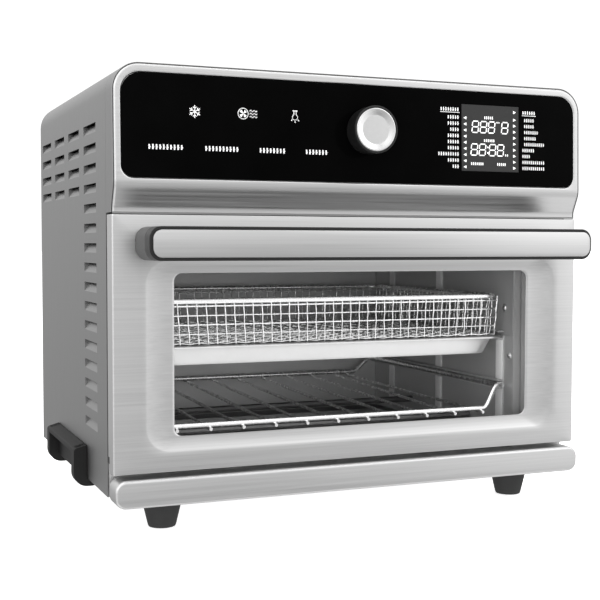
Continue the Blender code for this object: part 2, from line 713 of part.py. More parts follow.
def lamp_pieces(right_wall):
    """A domed lens in the right wall, with the bulb and its holder behind it."""
    wall, around = CAVITY_RIGHT, circle(LAMP_Y, LAMP_Z, 0.0150, 24)
    cut(right_wall, slab("lamp_hole", [around], wall - 0.004, wall + 0.004, "X"))
    place = (wall, LAMP_Y, LAMP_Z)
    lens_out = [(0.0146, 0.0060), (0.0146, -0.0010), (0.0110, -0.0046), (0.0060, -0.0066), (0, -0.0072)]
    lens_in = [(0, -0.0052), (0.0055, -0.0047), (0.0098, -0.0029), (0.0126, 0.0000), (0.0126, 0.0060)]
    turned("lamp_lens", lens_in + lens_out, place, "X", "lamp_glass", 20)
    neck = [(0, 0.0300), (0.0050, 0.0295), (0.0052, 0.0200)]
    globe = [(0.0088, 0.0130), (0.0090, 0.0080), (0.0060, 0.0030), (0, 0.0015)]
    turned("lamp_bulb", neck + globe, place, "X", "lamp_glass", 16)
    outer, inner, mouth, floor, back = 0.0145, 0.0125, 0.0062, 0.0305, 0.0340
    holder = [(0, back), (outer, back), (outer, mouth), (inner, mouth), (inner, floor), (0, floor)]
    turned("lamp_holder", holder, place, "X", "ceramic", 20)


def temperature_probe():
    y, z = 0.060, 0.2320
    length = 0.055
    right = CAVITY_RIGHT - 0.0006
    return tube("temperature_probe", [(right, y, z), (right - length, y, z)], 0.0022, "wire_chrome")


def power_board():
    """The supply board in the bay beside the cavity, with its tallest parts joined to it."""
    x = 0.2040
    board = boxes("power_board", [((x, 0.060, 0.080), (x + 0.0016, 0.230, 0.200))], "circuit_board")
    parts = [
        ((x - 0.024, 0.075, 0.150), (x + 0.0005, 0.110, 0.185)),
        ((x - 0.018, 0.130, 0.095), (x + 0.0005, 0.160, 0.125)),
        ((x - 0.016, 0.180, 0.140), (x + 0.0005, 0.205, 0.165)),
        ((x - 0.012, 0.080, 0.095), (x + 0.0005, 0.100, 0.115)),
    ]
    return fuse(board, boxes("board_parts", parts))


# ---------------------------------------------------------------- door
def window_slope():
    """Cuts the shallow funnel around the window, from the flat of the door back to the window's edge."""
    outer = rectangle(SLOPE_MIDDLE - SLOPE_HALF, SLOPE_MIDDLE + SLOPE_HALF, SLOPE_LOW, SLOPE_HIGH, 0.020)
    inner = rectangle(-WINDOW_HALF, WINDOW_HALF, WINDOW_LOW, WINDOW_HIGH, 0.007)
    loops = [
        [(x, -0.001, z) for x, z in outer],
        [(x, 0, z) for x, z in outer],
        [(x, SLOPE_DEPTH, z) for x, z in inner],
        [(x, 0.01, z) for x, z in inner],
    ]
    return add_object("window_slope", loft(loops, [0, -1]))


def door_skin():
    """A pressed front with turned-back edges, a slope around the window and notches over the hinges."""
    back = DOOR_DEPTH
    block = boxes("door_skin", [((-HALF, 0, DOOR_LOW), (HALF, back, DOOR_HIGH))], "brushed_steel")
    low, high = DOOR_LOW + SHEET, DOOR_HIGH - SHEET
    pocket = boxes("door_pocket", [((-HALF + SHEET, SHEET, low), (HALF - SHEET, back + 0.01, high))])
    left, right = SLOPE_MIDDLE - SLOPE_HALF, SLOPE_MIDDLE + SLOPE_HALF
    backing = ((left, SHEET / 2, SLOPE_LOW), (right, SLOPE_DEPTH + SHEET, SLOPE_HIGH))
    # The lower rear corners are cut away so that they clear the frame as the door swings down.
    relief = ((-HALF - 0.01, 0.0120, DOOR_LOW - 0.01), (HALF + 0.01, back + 0.01, 0.0660))
    notch_half = 0.0028
    notches = [
        ((x - notch_half, SHEET, DOOR_LOW - 0.01), (x + notch_half, 0.03, DOOR_LOW + 0.003))
        for x in (-HINGE_X, HINGE_X)
    ]
    cut(block, pocket)
    fuse(block, boxes("slope_backing", [backing]))
    return cut(block, window_slope(), boxes("door_relief", [relief]), boxes("hinge_notches", notches))


PANE_HALF, PANE_LOW, PANE_HIGH, PANE_THICK = 0.1708, 0.0755, 0.2170, 0.0040
PANE_FRONT = SLOPE_DEPTH + SHEET + GAP


def pane_outline(grown, radius):
    half = PANE_HALF + grown
    return rectangle(-half, half, PANE_LOW - grown, PANE_HIGH + grown, radius)


def door_glass():
    outline = pane_outline(0, 0.004)
    return slab("door_glass", [outline], PANE_FRONT, PANE_FRONT + PANE_THICK, "Y", "door_glass")


def door_liner():
    """The inner face of the door: a ring with turned edges outside, and a lip inside that holds the pane."""
    left, low, high, back = 0.2050, 0.0668, 0.2530, 0.0172
    ring = boxes("door_liner", [((-left, 0.0125, low), (left, back, high))], "cavity_steel")
    hollow = ((-left + SHEET, 0.0, low + SHEET), (left - SHEET, back - SHEET, high - SHEET))
    lip_front = PANE_FRONT + PANE_THICK + GAP
    lip = pane_outline(SHEET, 0.004)
    opening = pane_outline(-SHEET, 0.003)
    cut(ring, boxes("liner_hollow", [hollow]))
    fuse(ring, slab("liner_lip", [lip], lip_front, back, "Y"))
    return cut(ring, slab("liner_opening", [opening], 0.0, 0.03, "Y"))


GRIP_MIDDLE_X, GRIP_HALF, GRIP_LOW, GRIP_HIGH, GRIP_BACK = 0.0022, 0.1985, 0.2220, 0.2483, -0.0300
GRIP_RADIUS, FACE_THICK, FACE_BORDER = 0.0095, 0.0014, 0.0025


def grip_outline(inset):
    left, right = GRIP_MIDDLE_X - GRIP_HALF + inset, GRIP_MIDDLE_X + GRIP_HALF - inset
    return rectangle(left, right, GRIP_LOW + inset, GRIP_HIGH - inset, GRIP_RADIUS - inset)


def handle_grip():
    """The black bar with its rounded ends, which run back to the door as two posts."""
    front, post = -HANDLE_REACH + FACE_THICK + GAP, 0.015
    grip = slab("handle_grip", [grip_outline(0)], front, -GAP, "Y", "black_plastic")
    left, right = GRIP_MIDDLE_X - GRIP_HALF + post, GRIP_MIDDLE_X + GRIP_HALF - post
    behind = ((left, GRIP_BACK, GRIP_LOW - 0.01), (right, 0.01, GRIP_HIGH + 0.01))
    return cut(grip, boxes("finger_gap", [behind]))


def handle_face():
    outline = grip_outline(FACE_BORDER)
    return slab("handle_face", [outline], -HANDLE_REACH, -HANDLE_REACH + FACE_THICK, "Y", "brushed_steel")


PIN_RADIUS = 0.0015


def hinge_pieces(side, pivot):
    """One hinge: a bracket on the frame, a clevis on the door, the pin through both and a torsion spring."""
    word = "left" if side < 0 else "right"
    bore = circle(HINGE_Y, HINGE_Z, PIN_RADIUS + GAP, 16)

    def across(near, far):
        """X values between two distances outside the hinge's middle, lowest first."""
        return sorted((side * (HINGE_X + near), side * (HINGE_X + far)))

    arm = rounded(
        [
            (HINGE_Y - 0.0030, HINGE_Z - 0.0030, 0.0029),
            (FRAME_FRONT - GAP, HINGE_Z - 0.0030, 0),
            (FRAME_FRONT - GAP, HINGE_Z + 0.0030, 0),
            (HINGE_Y - 0.0030, HINGE_Z + 0.0030, 0.0029),
        ]
    )
    low, high = across(-0.001, 0.001)
    bracket = slab(f"hinge_bracket_{word}", [arm, bore], low, high, "X", "zinc_steel")
    low, high = across(-0.005, 0.005)
    flange = ((low, FRAME_FRONT - GAP - 0.0012, 0.0545), (high, FRAME_FRONT - GAP, 0.0654))
    fuse(bracket, boxes(f"bracket_flange_{word}", [flange]))

    ear = rectangle(0.0016, 0.0100, 0.0556, 0.0660, 0.001)
    low, high = across(-0.0045, -0.0030)
    clevis = slab(f"hinge_clevis_{word}", [ear, bore], low, high, "X", "zinc_steel")
    low, high = across(0.0030, 0.0045)
    outer_ear = slab(f"outer_ear_{word}", [ear, bore], low, high, "X")
    low, high = across(-0.0045, 0.0045)
    web = boxes(f"clevis_web_{word}", [((low, 0.0016, 0.0556), (high, 0.0027, 0.0680))])
    ride(fuse(clevis, outer_ear, web), pivot)

    head, length = 0.0012, 0.0205
    start = HINGE_X - 0.0062
    profile = [
        (0, length),
        (PIN_RADIUS, length),
        (PIN_RADIUS, head),
        (0.0026, head),
        (0.0026, 0),
        (0, 0),
    ]
    pin = turned(f"hinge_pin_{word}", profile, (side * start, HINGE_Y, HINGE_Z), "X", "zinc_steel", 16)
    if side < 0:
        pin.matrix_basis = pin.matrix_basis @ Matrix.Rotation(math.pi, 4, "X")
    ride(pin, pivot)
    ride(door_spring(side, word), pivot)


def door_spring(side, word):
    """A torsion spring round the pin, with one leg up the inside of the door."""
    radius, wire, turns, per_turn = 0.0027, 0.0005, 4, 10
    start, pitch = HINGE_X + 0.0058, 0.0016
    points = []
    for index in range(turns * per_turn + 1):
        turn = 2 * math.pi * index / per_turn
        x = side * (start + pitch * index / per_turn)
        points.append((x, HINGE_Y - radius * math.cos(turn), HINGE_Z + radius * math.sin(turn)))
    leg_x = points[-1][0]
    points.append((leg_x, HINGE_Y - radius, HINGE_Z + 0.006))
    points.append((leg_x, HINGE_Y - radius, HINGE_Z + 0.014))
    return tube(f"door_spring_{word}", points, wire, "zinc_steel", resolution=1)


# ---------------------------------------------------------------- what slides
def tray_bar():
    """The bar across the foot of the oven, which is the crumb tray's front: a pressing open behind."""
    radius = 0.0090
    outside = rectangle(-HALF, HALF, BAR_LOW, BAR_HIGH, radius)
    inner = rectangle(-HALF + SHEET, HALF - SHEET, BAR_LOW + SHEET, BAR_HIGH - SHEET, radius - SHEET)
    bar = slab("crumb_tray_front", [outside], BAR_FRONT, BAR_BACK, "Y", "brushed_steel")
    return cut(bar, slab("bar_pocket", [inner], BAR_FRONT + SHEET, BAR_BACK + 0.01, "Y"))


def crumb_tray():
    left, right = CAVITY_X - TRAY_HALF, CAVITY_X + TRAY_HALF
    front, back = BAR_FRONT + SHEET + GAP, TRAY_BACK
    sheet = 0.0010
    tray = boxes("crumb_tray", [((left, front, TRAY_LOW), (right, back, TRAY_HIGH))], "zinc_steel")
    well_low = (left + sheet, front + sheet, TRAY_LOW + sheet)
    well_high = (right - sheet, back - sheet, TRAY_HIGH + 0.01)
    return cut(tray, boxes("tray_well", [(well_low, well_high)]))


def rack_wire(name, y, flat_half, flat_z, material=None):
    """A wire across the oven: level in the guides, then down an S-bend to its flat middle."""
    half, level = RACK_HALF - WIRE, GUIDE_LEVELS[0]
    bend_half = half - 0.003
    steps = 8
    side = [(half, level)]
    for step in range(steps + 1):
        part = step / steps
        drop = min(max((part - 0.15) / 0.65, 0), 1)
        eased = drop * drop * (3 - 2 * drop)
        side.append((bend_half + (flat_half - bend_half) * part, level + (flat_z - level) * eased))
    right = [(CAVITY_X + x, y, z) for x, z in side]
    left = [(CAVITY_X - x, y, z) for x, z in reversed(side)]
    return tube(name, right + left, WIRE, material)


def oven_rack():
    """Wires across the front and back, side wires in the guides, and rods that rise to the rear stop."""
    rack = rack_wire("oven_rack", RACK_FRONT, RACK_FLAT_HALF, RACK_Z, "wire_chrome")
    pieces = [rack_wire("rack_stop", RACK_BACK, RACK_STOP_HALF, RACK_STOP_Z)]
    for side in (-1, 1):
        x = CAVITY_X + side * (RACK_HALF - WIRE)
        ends = [(x, y, GUIDE_LEVELS[0]) for y in (RACK_FRONT - WIRE * 0.6, RACK_BACK + WIRE * 0.6)]
        pieces.append(tube(f"rack_side_{side}", ends, WIRE))
    drop, overhang = WIRE + ROD * 0.6, 0.0036
    for index in range(RACK_RODS):
        across = (index - (RACK_RODS - 1) / 2) * RACK_PITCH
        x = CAVITY_X + across
        last_x = CAVITY_X + max(-RACK_STOP_HALF, min(RACK_STOP_HALF, across))
        points = [
            (x, RACK_FRONT - overhang, RACK_Z - drop),
            (last_x, RACK_BACK - overhang, RACK_STOP_Z - drop),
            (last_x, RACK_BACK + overhang, RACK_STOP_Z - drop),
        ]
        pieces.append(tube(f"rack_rod_{index}", points, ROD, resolution=1))
    return fuse(rack, *pieces)


def ring_at(half, front, back, radius, z, steps=5):
    points = rectangle(CAVITY_X - half, CAVITY_X + half, front, back, radius, steps=steps)
    return [(point.x, point.y, z) for point in points]


def baking_pan():
    """A shallow pan with sloping walls. Its rim rests in the middle pair of guides."""
    rim, side_slope, end_slope = 0.0060, 0.0068, 0.0065

    def ring(half_inset, end_inset, radius, z):
        return ring_at(PAN_HALF - half_inset, PAN_FRONT + end_inset, PAN_BACK - end_inset, radius, z)

    loops = [
        ring(0, 0, 0.016, PAN_RIM_Z),
        ring(rim, rim, 0.014, PAN_RIM_Z),
        ring(rim + side_slope, rim + end_slope, 0.012, PAN_RIM_Z - PAN_DEPTH),
    ]
    return pressed_tray("baking_pan", loops, 0.0010, "pan_aluminium")


def airfry_basket():
    """The basket as a plain open box of its true outer shape. Its walls and floor are fine woven wire."""
    taper = 0.003
    front, back, radius = BASKET_FRONT + WIRE, BASKET_BACK - WIRE, 0.012
    loops = [
        ring_at(BASKET_HALF, front, back, radius, BASKET_RIM_Z - WIRE - GAP),
        ring_at(BASKET_HALF - taper, front, back - taper, radius, BASKET_LOW + 0.0007),
    ]
    return pressed_tray("airfry_basket", loops, 0.0012, "wire_chrome")


def basket_rim():
    loop = ring_at(BASKET_HALF, BASKET_FRONT + WIRE, BASKET_BACK - WIRE, 0.012, BASKET_RIM_Z)
    return tube("basket_rim", loop, WIRE, "wire_chrome", closed=True)


# ---------------------------------------------------------------- assembly
def build_casing():
    outer_shell()
    rear_panel()
    cord_inlet()
    base_plate()
    front_frame()
    for row, y in (("front", FOOT_INSET), ("rear", BODY_DEPTH - FOOT_INSET)):
        for word, side in (("left", -1), ("right", 1)):
            foot(f"foot_{row}_{word}", FOOT_MIDDLE_X + side * FOOT_X, y)
    side_handle("side_handle_left", -1)
    side_handle("side_handle_right", 1)


def build_controls():
    control_fascia()
    control_glass()
    display_module()
    control_board()
    dial_encoder()
    pivot = axis_empty("dial_axis", (KNOB_X, 0, KNOB_Z), FRAME)
    for piece in (encoder_shaft(), control_knob(), knob_cap()):
        ride(piece, pivot)


def build_cavity():
    cavity_side("cavity_left_wall", -1)
    right_wall = cavity_side("cavity_right_wall", 1)
    cavity_back()
    cavity_ceiling()
    cavity_floor()
    heater("heater_upper_front", 0.100, 0.2380, 2)
    heater("heater_upper_rear", 0.256, 0.2380, 2)
    heater("heater_lower_front", 0.095, 0.0680, 1)
    heater("heater_lower_rear", 0.215, 0.0680, 1)
    guide_rivet("guide_rivet_upper", 0.0330, 0.1763)
    guide_rivet("guide_rivet_lower", 0.0234, 0.1320)
    fan_guard()
    fan_housing()
    fan_motor()
    pivot = axis_empty("fan_axis", (FAN_X, FAN_Y, FAN_HIGH), FRAME)
    ride(fan_blade(), pivot)
    ride(fan_shaft(), pivot)
    lamp_pieces(right_wall)
    temperature_probe()
    power_board()


def build_door():
    pivot = axis_empty("door_axis", (0, HINGE_Y, HINGE_Z), FRAME)
    for piece in (door_skin(), door_glass(), door_liner(), handle_grip(), handle_face()):
        ride(piece, pivot)
    for side in (-1, 1):
        hinge_pieces(side, pivot)


def build_sliders():
    tray_axis = axis_empty("tray_axis", (CAVITY_X, 0, TRAY_LOW), FRAME)
    ride(tray_bar(), tray_axis)
    ride(crumb_tray(), tray_axis)
    ride(oven_rack(), axis_empty("rack_axis", (CAVITY_X, RACK_FRONT, GUIDE_LEVELS[0]), FRAME))
    pan_axis = axis_empty("pan_axis", (CAVITY_X, PAN_FRONT, GUIDE_LEVELS[1]), FRAME)
    for piece in (baking_pan(), airfry_basket(), basket_rim()):
        ride(piece, pan_axis)


clear_scene()
PARTS = new_collection("toaster_oven")
HELPERS = new_collection("cutters_and_helpers")
FRAME = bpy.data.objects.new("oven_frame", None)
FRAME.location = (0, FACE_Y, 0)
PARTS.objects.link(FRAME)

build_casing()
build_controls()
build_cavity()
build_door()
build_sliders()
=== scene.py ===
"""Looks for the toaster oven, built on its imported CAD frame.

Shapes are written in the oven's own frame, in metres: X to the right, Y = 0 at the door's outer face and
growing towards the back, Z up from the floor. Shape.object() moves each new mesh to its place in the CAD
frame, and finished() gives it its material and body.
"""

import collections
import math

import bmesh
import bpy
from mathutils import Matrix, Vector


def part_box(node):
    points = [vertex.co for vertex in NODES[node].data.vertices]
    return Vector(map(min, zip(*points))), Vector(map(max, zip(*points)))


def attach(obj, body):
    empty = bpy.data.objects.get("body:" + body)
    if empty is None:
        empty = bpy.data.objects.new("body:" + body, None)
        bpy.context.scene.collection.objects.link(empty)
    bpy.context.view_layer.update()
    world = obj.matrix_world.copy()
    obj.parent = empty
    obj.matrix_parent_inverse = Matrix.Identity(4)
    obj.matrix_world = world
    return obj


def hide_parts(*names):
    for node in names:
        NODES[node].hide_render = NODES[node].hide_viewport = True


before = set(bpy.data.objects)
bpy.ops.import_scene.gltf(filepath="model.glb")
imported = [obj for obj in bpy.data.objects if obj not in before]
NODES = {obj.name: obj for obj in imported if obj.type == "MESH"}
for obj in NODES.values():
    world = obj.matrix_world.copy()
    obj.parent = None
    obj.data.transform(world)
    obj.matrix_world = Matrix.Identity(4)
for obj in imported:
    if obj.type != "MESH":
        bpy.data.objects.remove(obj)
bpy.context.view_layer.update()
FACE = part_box("door_skin")[0].y
TO_CAD = Vector((0, FACE, 0))


def node_box(name):
    """Lowest and highest corners of a CAD node, in the oven's own frame."""
    low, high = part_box(name)
    return low - TO_CAD, high - TO_CAD


HALF = node_box("control_fascia")[1].x
HEIGHT = node_box("control_fascia")[1].z
TOP_RADIUS = 0.022
CAVITY_X = (node_box("cavity_left_wall")[0].x + node_box("cavity_right_wall")[1].x) / 2


# ---------------------------------------------------------------- numbers and outlines
def even(value):
    """The same value for all three axes or colour channels."""
    return (value, value, value)


def eased(part):
    """A smooth step from 0 to 1."""
    return part * part * (3 - 2 * part)


def quarter(steps, first=0):
    """Angles from 0 to a quarter turn, in radians."""
    return [math.radians(90 * step / steps) for step in range(first, steps + 1)]


def heading(degrees):
    turn = math.radians(degrees)
    return Vector((math.cos(turn), math.sin(turn)))


def arc(centre, radius, start, end, steps):
    """Points on an arc, with its angles in degrees."""
    x, y = centre
    turns = [math.radians(start + (end - start) * step / steps) for step in range(steps + 1)]
    return [Vector((x + radius * math.cos(turn), y + radius * math.sin(turn))) for turn in turns]


def rounded(corners, steps=8):
    """A closed outline of (x, z) points from (x, z, radius) corners, with each radius drawn as an arc."""
    least_radius = 0.00002
    points = []
    for index, (x, z, radius) in enumerate(corners):
        corner = Vector((x, z))
        before = (Vector(corners[index - 1][:2]) - corner).normalized()
        after = (Vector(corners[(index + 1) % len(corners)][:2]) - corner).normalized()
        radius = max(radius, least_radius)
        half = before.angle(after) / 2
        centre = corner + (before + after).normalized() * radius / math.sin(half)
        start = corner + before * radius / math.tan(half) - centre
        end = corner + after * radius / math.tan(half) - centre
        turn = start.angle(end)
        for step in range(steps + 1):
            part = turn * step / steps
            points.append(centre + (start * math.sin(turn - part) + end * math.sin(part)) / math.sin(turn))
    return points


def rectangle(half, low, high, radius, top_radius=None, middle=0.0, steps=8):
    top = radius if top_radius is None else top_radius
    left, right = middle - half, middle + half
    return rounded([(left, low, radius), (right, low, radius), (right, high, top), (left, high, top)], steps)


def mirrored(run):
    """The same (x, z) points on the other side, in the order that carries an outline on over the top."""
    return [(-x, z) for x, z in reversed(run)]


# ---------------------------------------------------------------- meshes
SAME_POINT = 0.000005
BOTH_ENDS = (0, -1)


class Shape:
    """Vertices and faces that several calls add to before they become one mesh."""

    def __init__(self):
        self.points = []
        self.faces = []

    def add(self, points, faces):
        start = len(self.points)
        self.points += [Vector(point) for point in points]
        self.faces += [tuple(start + index for index in face) for face in faces]

    def loft(self, loops, closed=True, caps=()):
        """Faces between neighbouring loops of equal length, and over the loops at the places in caps."""
        size = len(loops[0])
        faces = []
        for row in range(len(loops) - 1):
            for column in range(size if closed else size - 1):
                after = (column + 1) % size
                low, high = row * size, (row + 1) * size
                faces.append((low + column, low + after, high + after, high + column))
        for cap in caps:
            start = (cap % len(loops)) * size
            order = range(size) if cap else reversed(range(size))
            faces.append(tuple(start + index for index in order))
        self.add([point for loop in loops for point in loop], faces)
        return self

    def prism(self, outline, low, high, upright=False):
        """A solid from an outline of (x, z) at two depths or, upright, of (x, y) at two heights."""
        loops = []
        for along in (low, high):
            loops.append([(a, b, along) if upright else (a, along, b) for a, b in outline])
        return self.loft(loops, caps=BOTH_ENDS)

    def box(self, corner, opposite):
        low, high = zip(*(sorted(pair) for pair in zip(corner, opposite)))
        outline = [(low[0], low[2]), (high[0], low[2]), (high[0], high[2]), (low[0], high[2])]
        return self.prism(outline, low[1], high[1])

    def wire(self, points, radius, sides, closed=False):
        """A round wire along points, with its frame carried from each point to the next."""
        points = [Vector(point) for point in points]
        count = len(points)
        loops = []
        side = None
        for index, point in enumerate(points):
            if closed:
                along = points[(index + 1) % count] - points[index - 1]
            else:
                along = points[min(index + 1, count - 1)] - points[max(index - 1, 0)]
            along.normalize()
            if side is None:
                side = along.orthogonal().normalized()
            side = (side - along * side.dot(along)).normalized()
            other = along.cross(side)
            turns = [2 * math.pi * step / sides for step in range(sides)]
            outs = [side * math.cos(turn) + other * math.sin(turn) for turn in turns]
            loops.append([point + out * radius for out in outs])
        if closed:
            loops.append(loops[0])
        return self.loft(loops, caps=() if closed else BOTH_ENDS)

    def lathe(self, profile, place, steps, upright=False):
        """(radius, height) points turned about an axis. Height runs to the front or, upright, to the top."""
        loops = []
        for radius, height in profile:
            loop = []
            for step in range(steps):
                turn = 2 * math.pi * step / steps
                a, b = radius * math.cos(turn), radius * math.sin(turn)
                loop.append(Vector(place) + Vector((a, b, height) if upright else (a, -height, b)))
            loops.append(loop)
        return self.loft(loops, caps=BOTH_ENDS)

    def object(self, name):
        """The mesh in the CAD frame, with points at one place joined and the faces turned outwards."""
        mesh = bpy.data.meshes.new(name)
        mesh.from_pydata([tuple(point + TO_CAD) for point in self.points], [], self.faces)
        bm = bmesh.new()
        bm.from_mesh(mesh)
        bmesh.ops.remove_doubles(bm, verts=bm.verts, dist=SAME_POINT)
        bmesh.ops.recalc_face_normals(bm, faces=bm.faces)
        bm.to_mesh(mesh)
        bm.free()
        obj = bpy.data.objects.new(name, mesh)
        bpy.context.scene.collection.objects.link(obj)
        return obj


def smooth(obj, degrees=35):
    obj.data.shade_smooth()
    obj.data.set_sharp_from_angle(angle=math.radians(degrees))
    return obj


def bevel(obj, width, segments=3, degrees=35):
    modifier = obj.modifiers.new("rounded edges", "BEVEL")
    modifier.width = width
    modifier.segments = segments
    modifier.limit_method = "ANGLE"
    modifier.angle_limit = math.radians(degrees)
    modifier.harden_normals = True
    return obj


def weighted(obj):
    """Large faces set the shading, so that flat strips stay flat beside a curve."""
    modifier = obj.modifiers.new("weighted", "WEIGHTED_NORMAL")
    modifier.keep_sharp = True
    return obj


def notched(obj, low, high):
    """Cuts away the part of a sheet that lies within a box of the oven's own frame."""
    low, high = Vector(low) + TO_CAD, Vector(high) + TO_CAD
    bm = bmesh.new()
    bm.from_mesh(obj.data)
    for axis, corner in [(axis, corner) for axis in range(3) for corner in (low, high)]:
        touching = []
        for face in bm.faces:
            spans = [[vert.co[index] for vert in face.verts] for index in range(3)]
            if all(min(span) < high[index] and max(span) > low[index] for index, span in enumerate(spans)):
                touching.append(face)
        edges = {edge for face in touching for edge in face.edges}
        verts = {vert for face in touching for vert in face.verts}
        normal = Vector([float(index == axis) for index in range(3)])
        bmesh.ops.bisect_plane(bm, geom=[*verts, *edges, *touching], plane_co=corner, plane_no=normal)
    middles = {face: face.calc_center_median() for face in bm.faces}
    inside = [face for face, middle in middles.items() if all(low[i] < middle[i] < high[i] for i in range(3))]
    bmesh.ops.delete(bm, geom=inside, context="FACES")
    bm.to_mesh(obj.data)
    bm.free()
    return obj


def thicken(obj, thickness, offset=-1):
    """Gives a sheet its thickness, with sharp open edges, so that they don't shade the flats beside them."""
    faces_at = collections.Counter(key for face in obj.data.polygons for key in face.edge_keys)
    for edge in obj.data.edges:
        edge.use_edge_sharp = edge.use_edge_sharp or faces_at[edge.key] == 1
    modifier = obj.modifiers.new("sheet", "SOLIDIFY")
    modifier.thickness = thickness
    modifier.offset = offset
    modifier.use_even_offset = True
    return obj


def finished(obj, material, body, replaces=()):
    """Gives a new piece its material and body, and hides the CAD nodes that it stands for."""
    obj.data.materials.append(material)
    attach(obj, body)
    if replaces:
        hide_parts(*replaces)
    return obj


def dress(material, *names, edge=0.0002):
    """A new material and softened edges for CAD nodes whose shape is kept."""
    for name in names:
        node = NODES[name]
        node.data.materials.clear()
        node.data.materials.append(material)
        node.data.shade_smooth()
        weld = node.modifiers.new("weld", "WELD")
        weld.merge_threshold = 0.000002
        bevel(node, edge, 2, 30)
        node.modifiers.new("normals", "WEIGHTED_NORMAL")


# ---------------------------------------------------------------- materials
def set_inputs(node, **values):
    for key, value in values.items():
        node.inputs[key.replace("_", " ")].default_value = value
    return node


def ramp(nodes, links, value, stops):
    """The colour at a value along a ramp of (position, colour) stops."""
    node = nodes.new("ShaderNodeValToRGB")
    elements = node.color_ramp.elements
    while len(elements) < len(stops):
        elements.new(0.5)
    for element, (position, colour) in zip(elements, stops):
        element.position = position
        element.color = (*colour, 1)
    links.new(value, node.inputs["Fac"])
    return node.outputs["Color"]


def noise(nodes, links, scale):
    """A noise on object coordinates, with a scale for each axis, so that it can be drawn out into grain."""
    place = nodes.new("ShaderNodeTexCoord")
    mapping = set_inputs(nodes.new("ShaderNodeMapping"), Scale=scale)
    texture = set_inputs(nodes.new("ShaderNodeTexNoise"), Scale=1.0, Detail=4.0, Roughness=0.55)
    links.new(place.outputs["Object"], mapping.inputs["Vector"])
    links.new(mapping.outputs["Vector"], texture.inputs["Vector"])
    return texture.outputs["Fac"]


NOISE_LOW, NOISE_HIGH = 0.3, 0.7


def surface(
    name, level, change, roughness, rough_change, scale, metallic=0.0, relief=0.1, depth=0.0001, **settings
):
    """A grey material. One noise varies its level, its roughness and its relief."""
    material = bpy.data.materials.new(name)
    material.use_nodes = True
    nodes, links = material.node_tree.nodes, material.node_tree.links
    shader = set_inputs(nodes["Principled BSDF"], Base_Color=(*even(level), 1), Emission_Color=(1, 1, 1, 1))
    set_inputs(shader, Roughness=roughness, Metallic=metallic, **settings)
    value = noise(nodes, links, scale)

    dark, light = level * (1 - change), min(level * (1 + change), 1.0)
    colour = ramp(nodes, links, value, [(NOISE_LOW, even(dark)), (NOISE_HIGH, even(light))])
    links.new(colour, shader.inputs["Base Color"])

    rough = set_inputs(nodes.new("ShaderNodeMapRange"), From_Min=NOISE_LOW, From_Max=NOISE_HIGH)
    set_inputs(rough, To_Min=roughness - rough_change, To_Max=roughness + rough_change)
    links.new(value, rough.inputs["Value"])
    links.new(rough.outputs["Result"], shader.inputs["Roughness"])

    bump = set_inputs(nodes.new("ShaderNodeBump"), Strength=relief, Distance=depth)
    links.new(value, bump.inputs["Height"])
    links.new(bump.outputs["Normal"], shader.inputs["Normal"])
    return material


ACROSS = (7, 900, 900)
UPRIGHT = (900, 900, 7)
FINE = even(1400)
CLOUDY = even(22)

BRUSHED = surface("brushed_front", 0.68, 0.05, 0.36, 0.05, ACROSS, 1.0)
FACE_STEEL = surface("brushed_handle", 0.63, 0.05, 0.34, 0.04, ACROSS, 1.0)
SIDE = surface("side_steel", 0.33, 0.03, 0.44, 0.04, (500, 500, 30), 1.0, 0.05)
# Painted shade: a near-black material for the sheets set in the seams, where the seams lie in shade.
SHADE_GAP = surface("painted_gap_shade", 0.03, 0.2, 0.6, 0.05, FINE)
CAVITY = surface("cavity_steel", 0.52, 0.06, 0.46, 0.06, CLOUDY, 0.6, 0.05, 0.0004)
# Painted highlight: the pressed ribs are the cavity walls' own steel, made much lighter for the light that
# the raised strips catch.
RIB_HIGHLIGHT = surface("rib_painted_highlight", 0.95, 0.04, 0.45, 0.05, UPRIGHT, 0.3, 0.05)
ZINC = surface("zinc_steel", 0.48, 0.10, 0.45, 0.08, even(120), 1.0, 0.08)
CHROME = surface("wire_chrome", 0.96, 0.03, 0.26, 0.05, even(300), 1.0, 0.05)
PAN = surface("pan_aluminium", 0.75, 0.04, 0.40, 0.05, even(60), 1.0, 0.05, 0.0002)
CAP = surface("turned_cap", 0.80, 0.04, 0.24, 0.04, FINE, 1.0, 0.06, 0.00005)
BLACK_GLASS = surface("black_glass", 0.001, 0.2, 0.07, 0.01, CLOUDY, relief=0.01, Specular_IOR_Level=0.015)
DISPLAY = surface("display_window", 0.028, 0.05, 0.30, 0.02, FINE, relief=0.02, Specular_IOR_Level=0.05)
PRINT = surface("white_print", 0.75, 0.03, 0.50, 0.05, FINE, relief=0.02)
LIT = surface("lit_figures", 0.92, 0.02, 0.50, 0.05, FINE, relief=0.02, Emission_Strength=0.15)
PLASTIC = surface("black_plastic", 0.008, 0.15, 0.36, 0.06, FINE, relief=0.15, Specular_IOR_Level=0.3)
HANDLE_SIDE = surface("charcoal_end", 0.045, 0.10, 0.42, 0.05, FINE, relief=0.15)
HANDLE_PLASTIC = surface(
    "charcoal_plastic", 0.006, 0.12, 0.58, 0.06, FINE, relief=0.15, Specular_IOR_Level=0.3
)
RUBBER = surface("rubber", 0.012, 0.15, 0.62, 0.08, FINE, relief=0.2)
HEATER = surface("heater_sheath", 0.16, 0.20, 0.50, 0.08, (40, 200, 200), 1.0)
BOARD = surface("circuit_board", 0.05, 0.2, 0.45, 0.05, even(200))
CERAMIC = surface("ceramic", 0.75, 0.04, 0.60, 0.05, FINE)
LAMP_GLASS = surface("lamp_glass", 0.85, 0.03, 0.12, 0.03, even(80), relief=0.05, depth=0.0002, Alpha=0.5)
DOOR_GLASS = surface(
    "door_glass", 0.006, 0.1, 0.03, 0.01, CLOUDY, relief=0.005, Alpha=0.10, Specular_IOR_Level=0.4
)


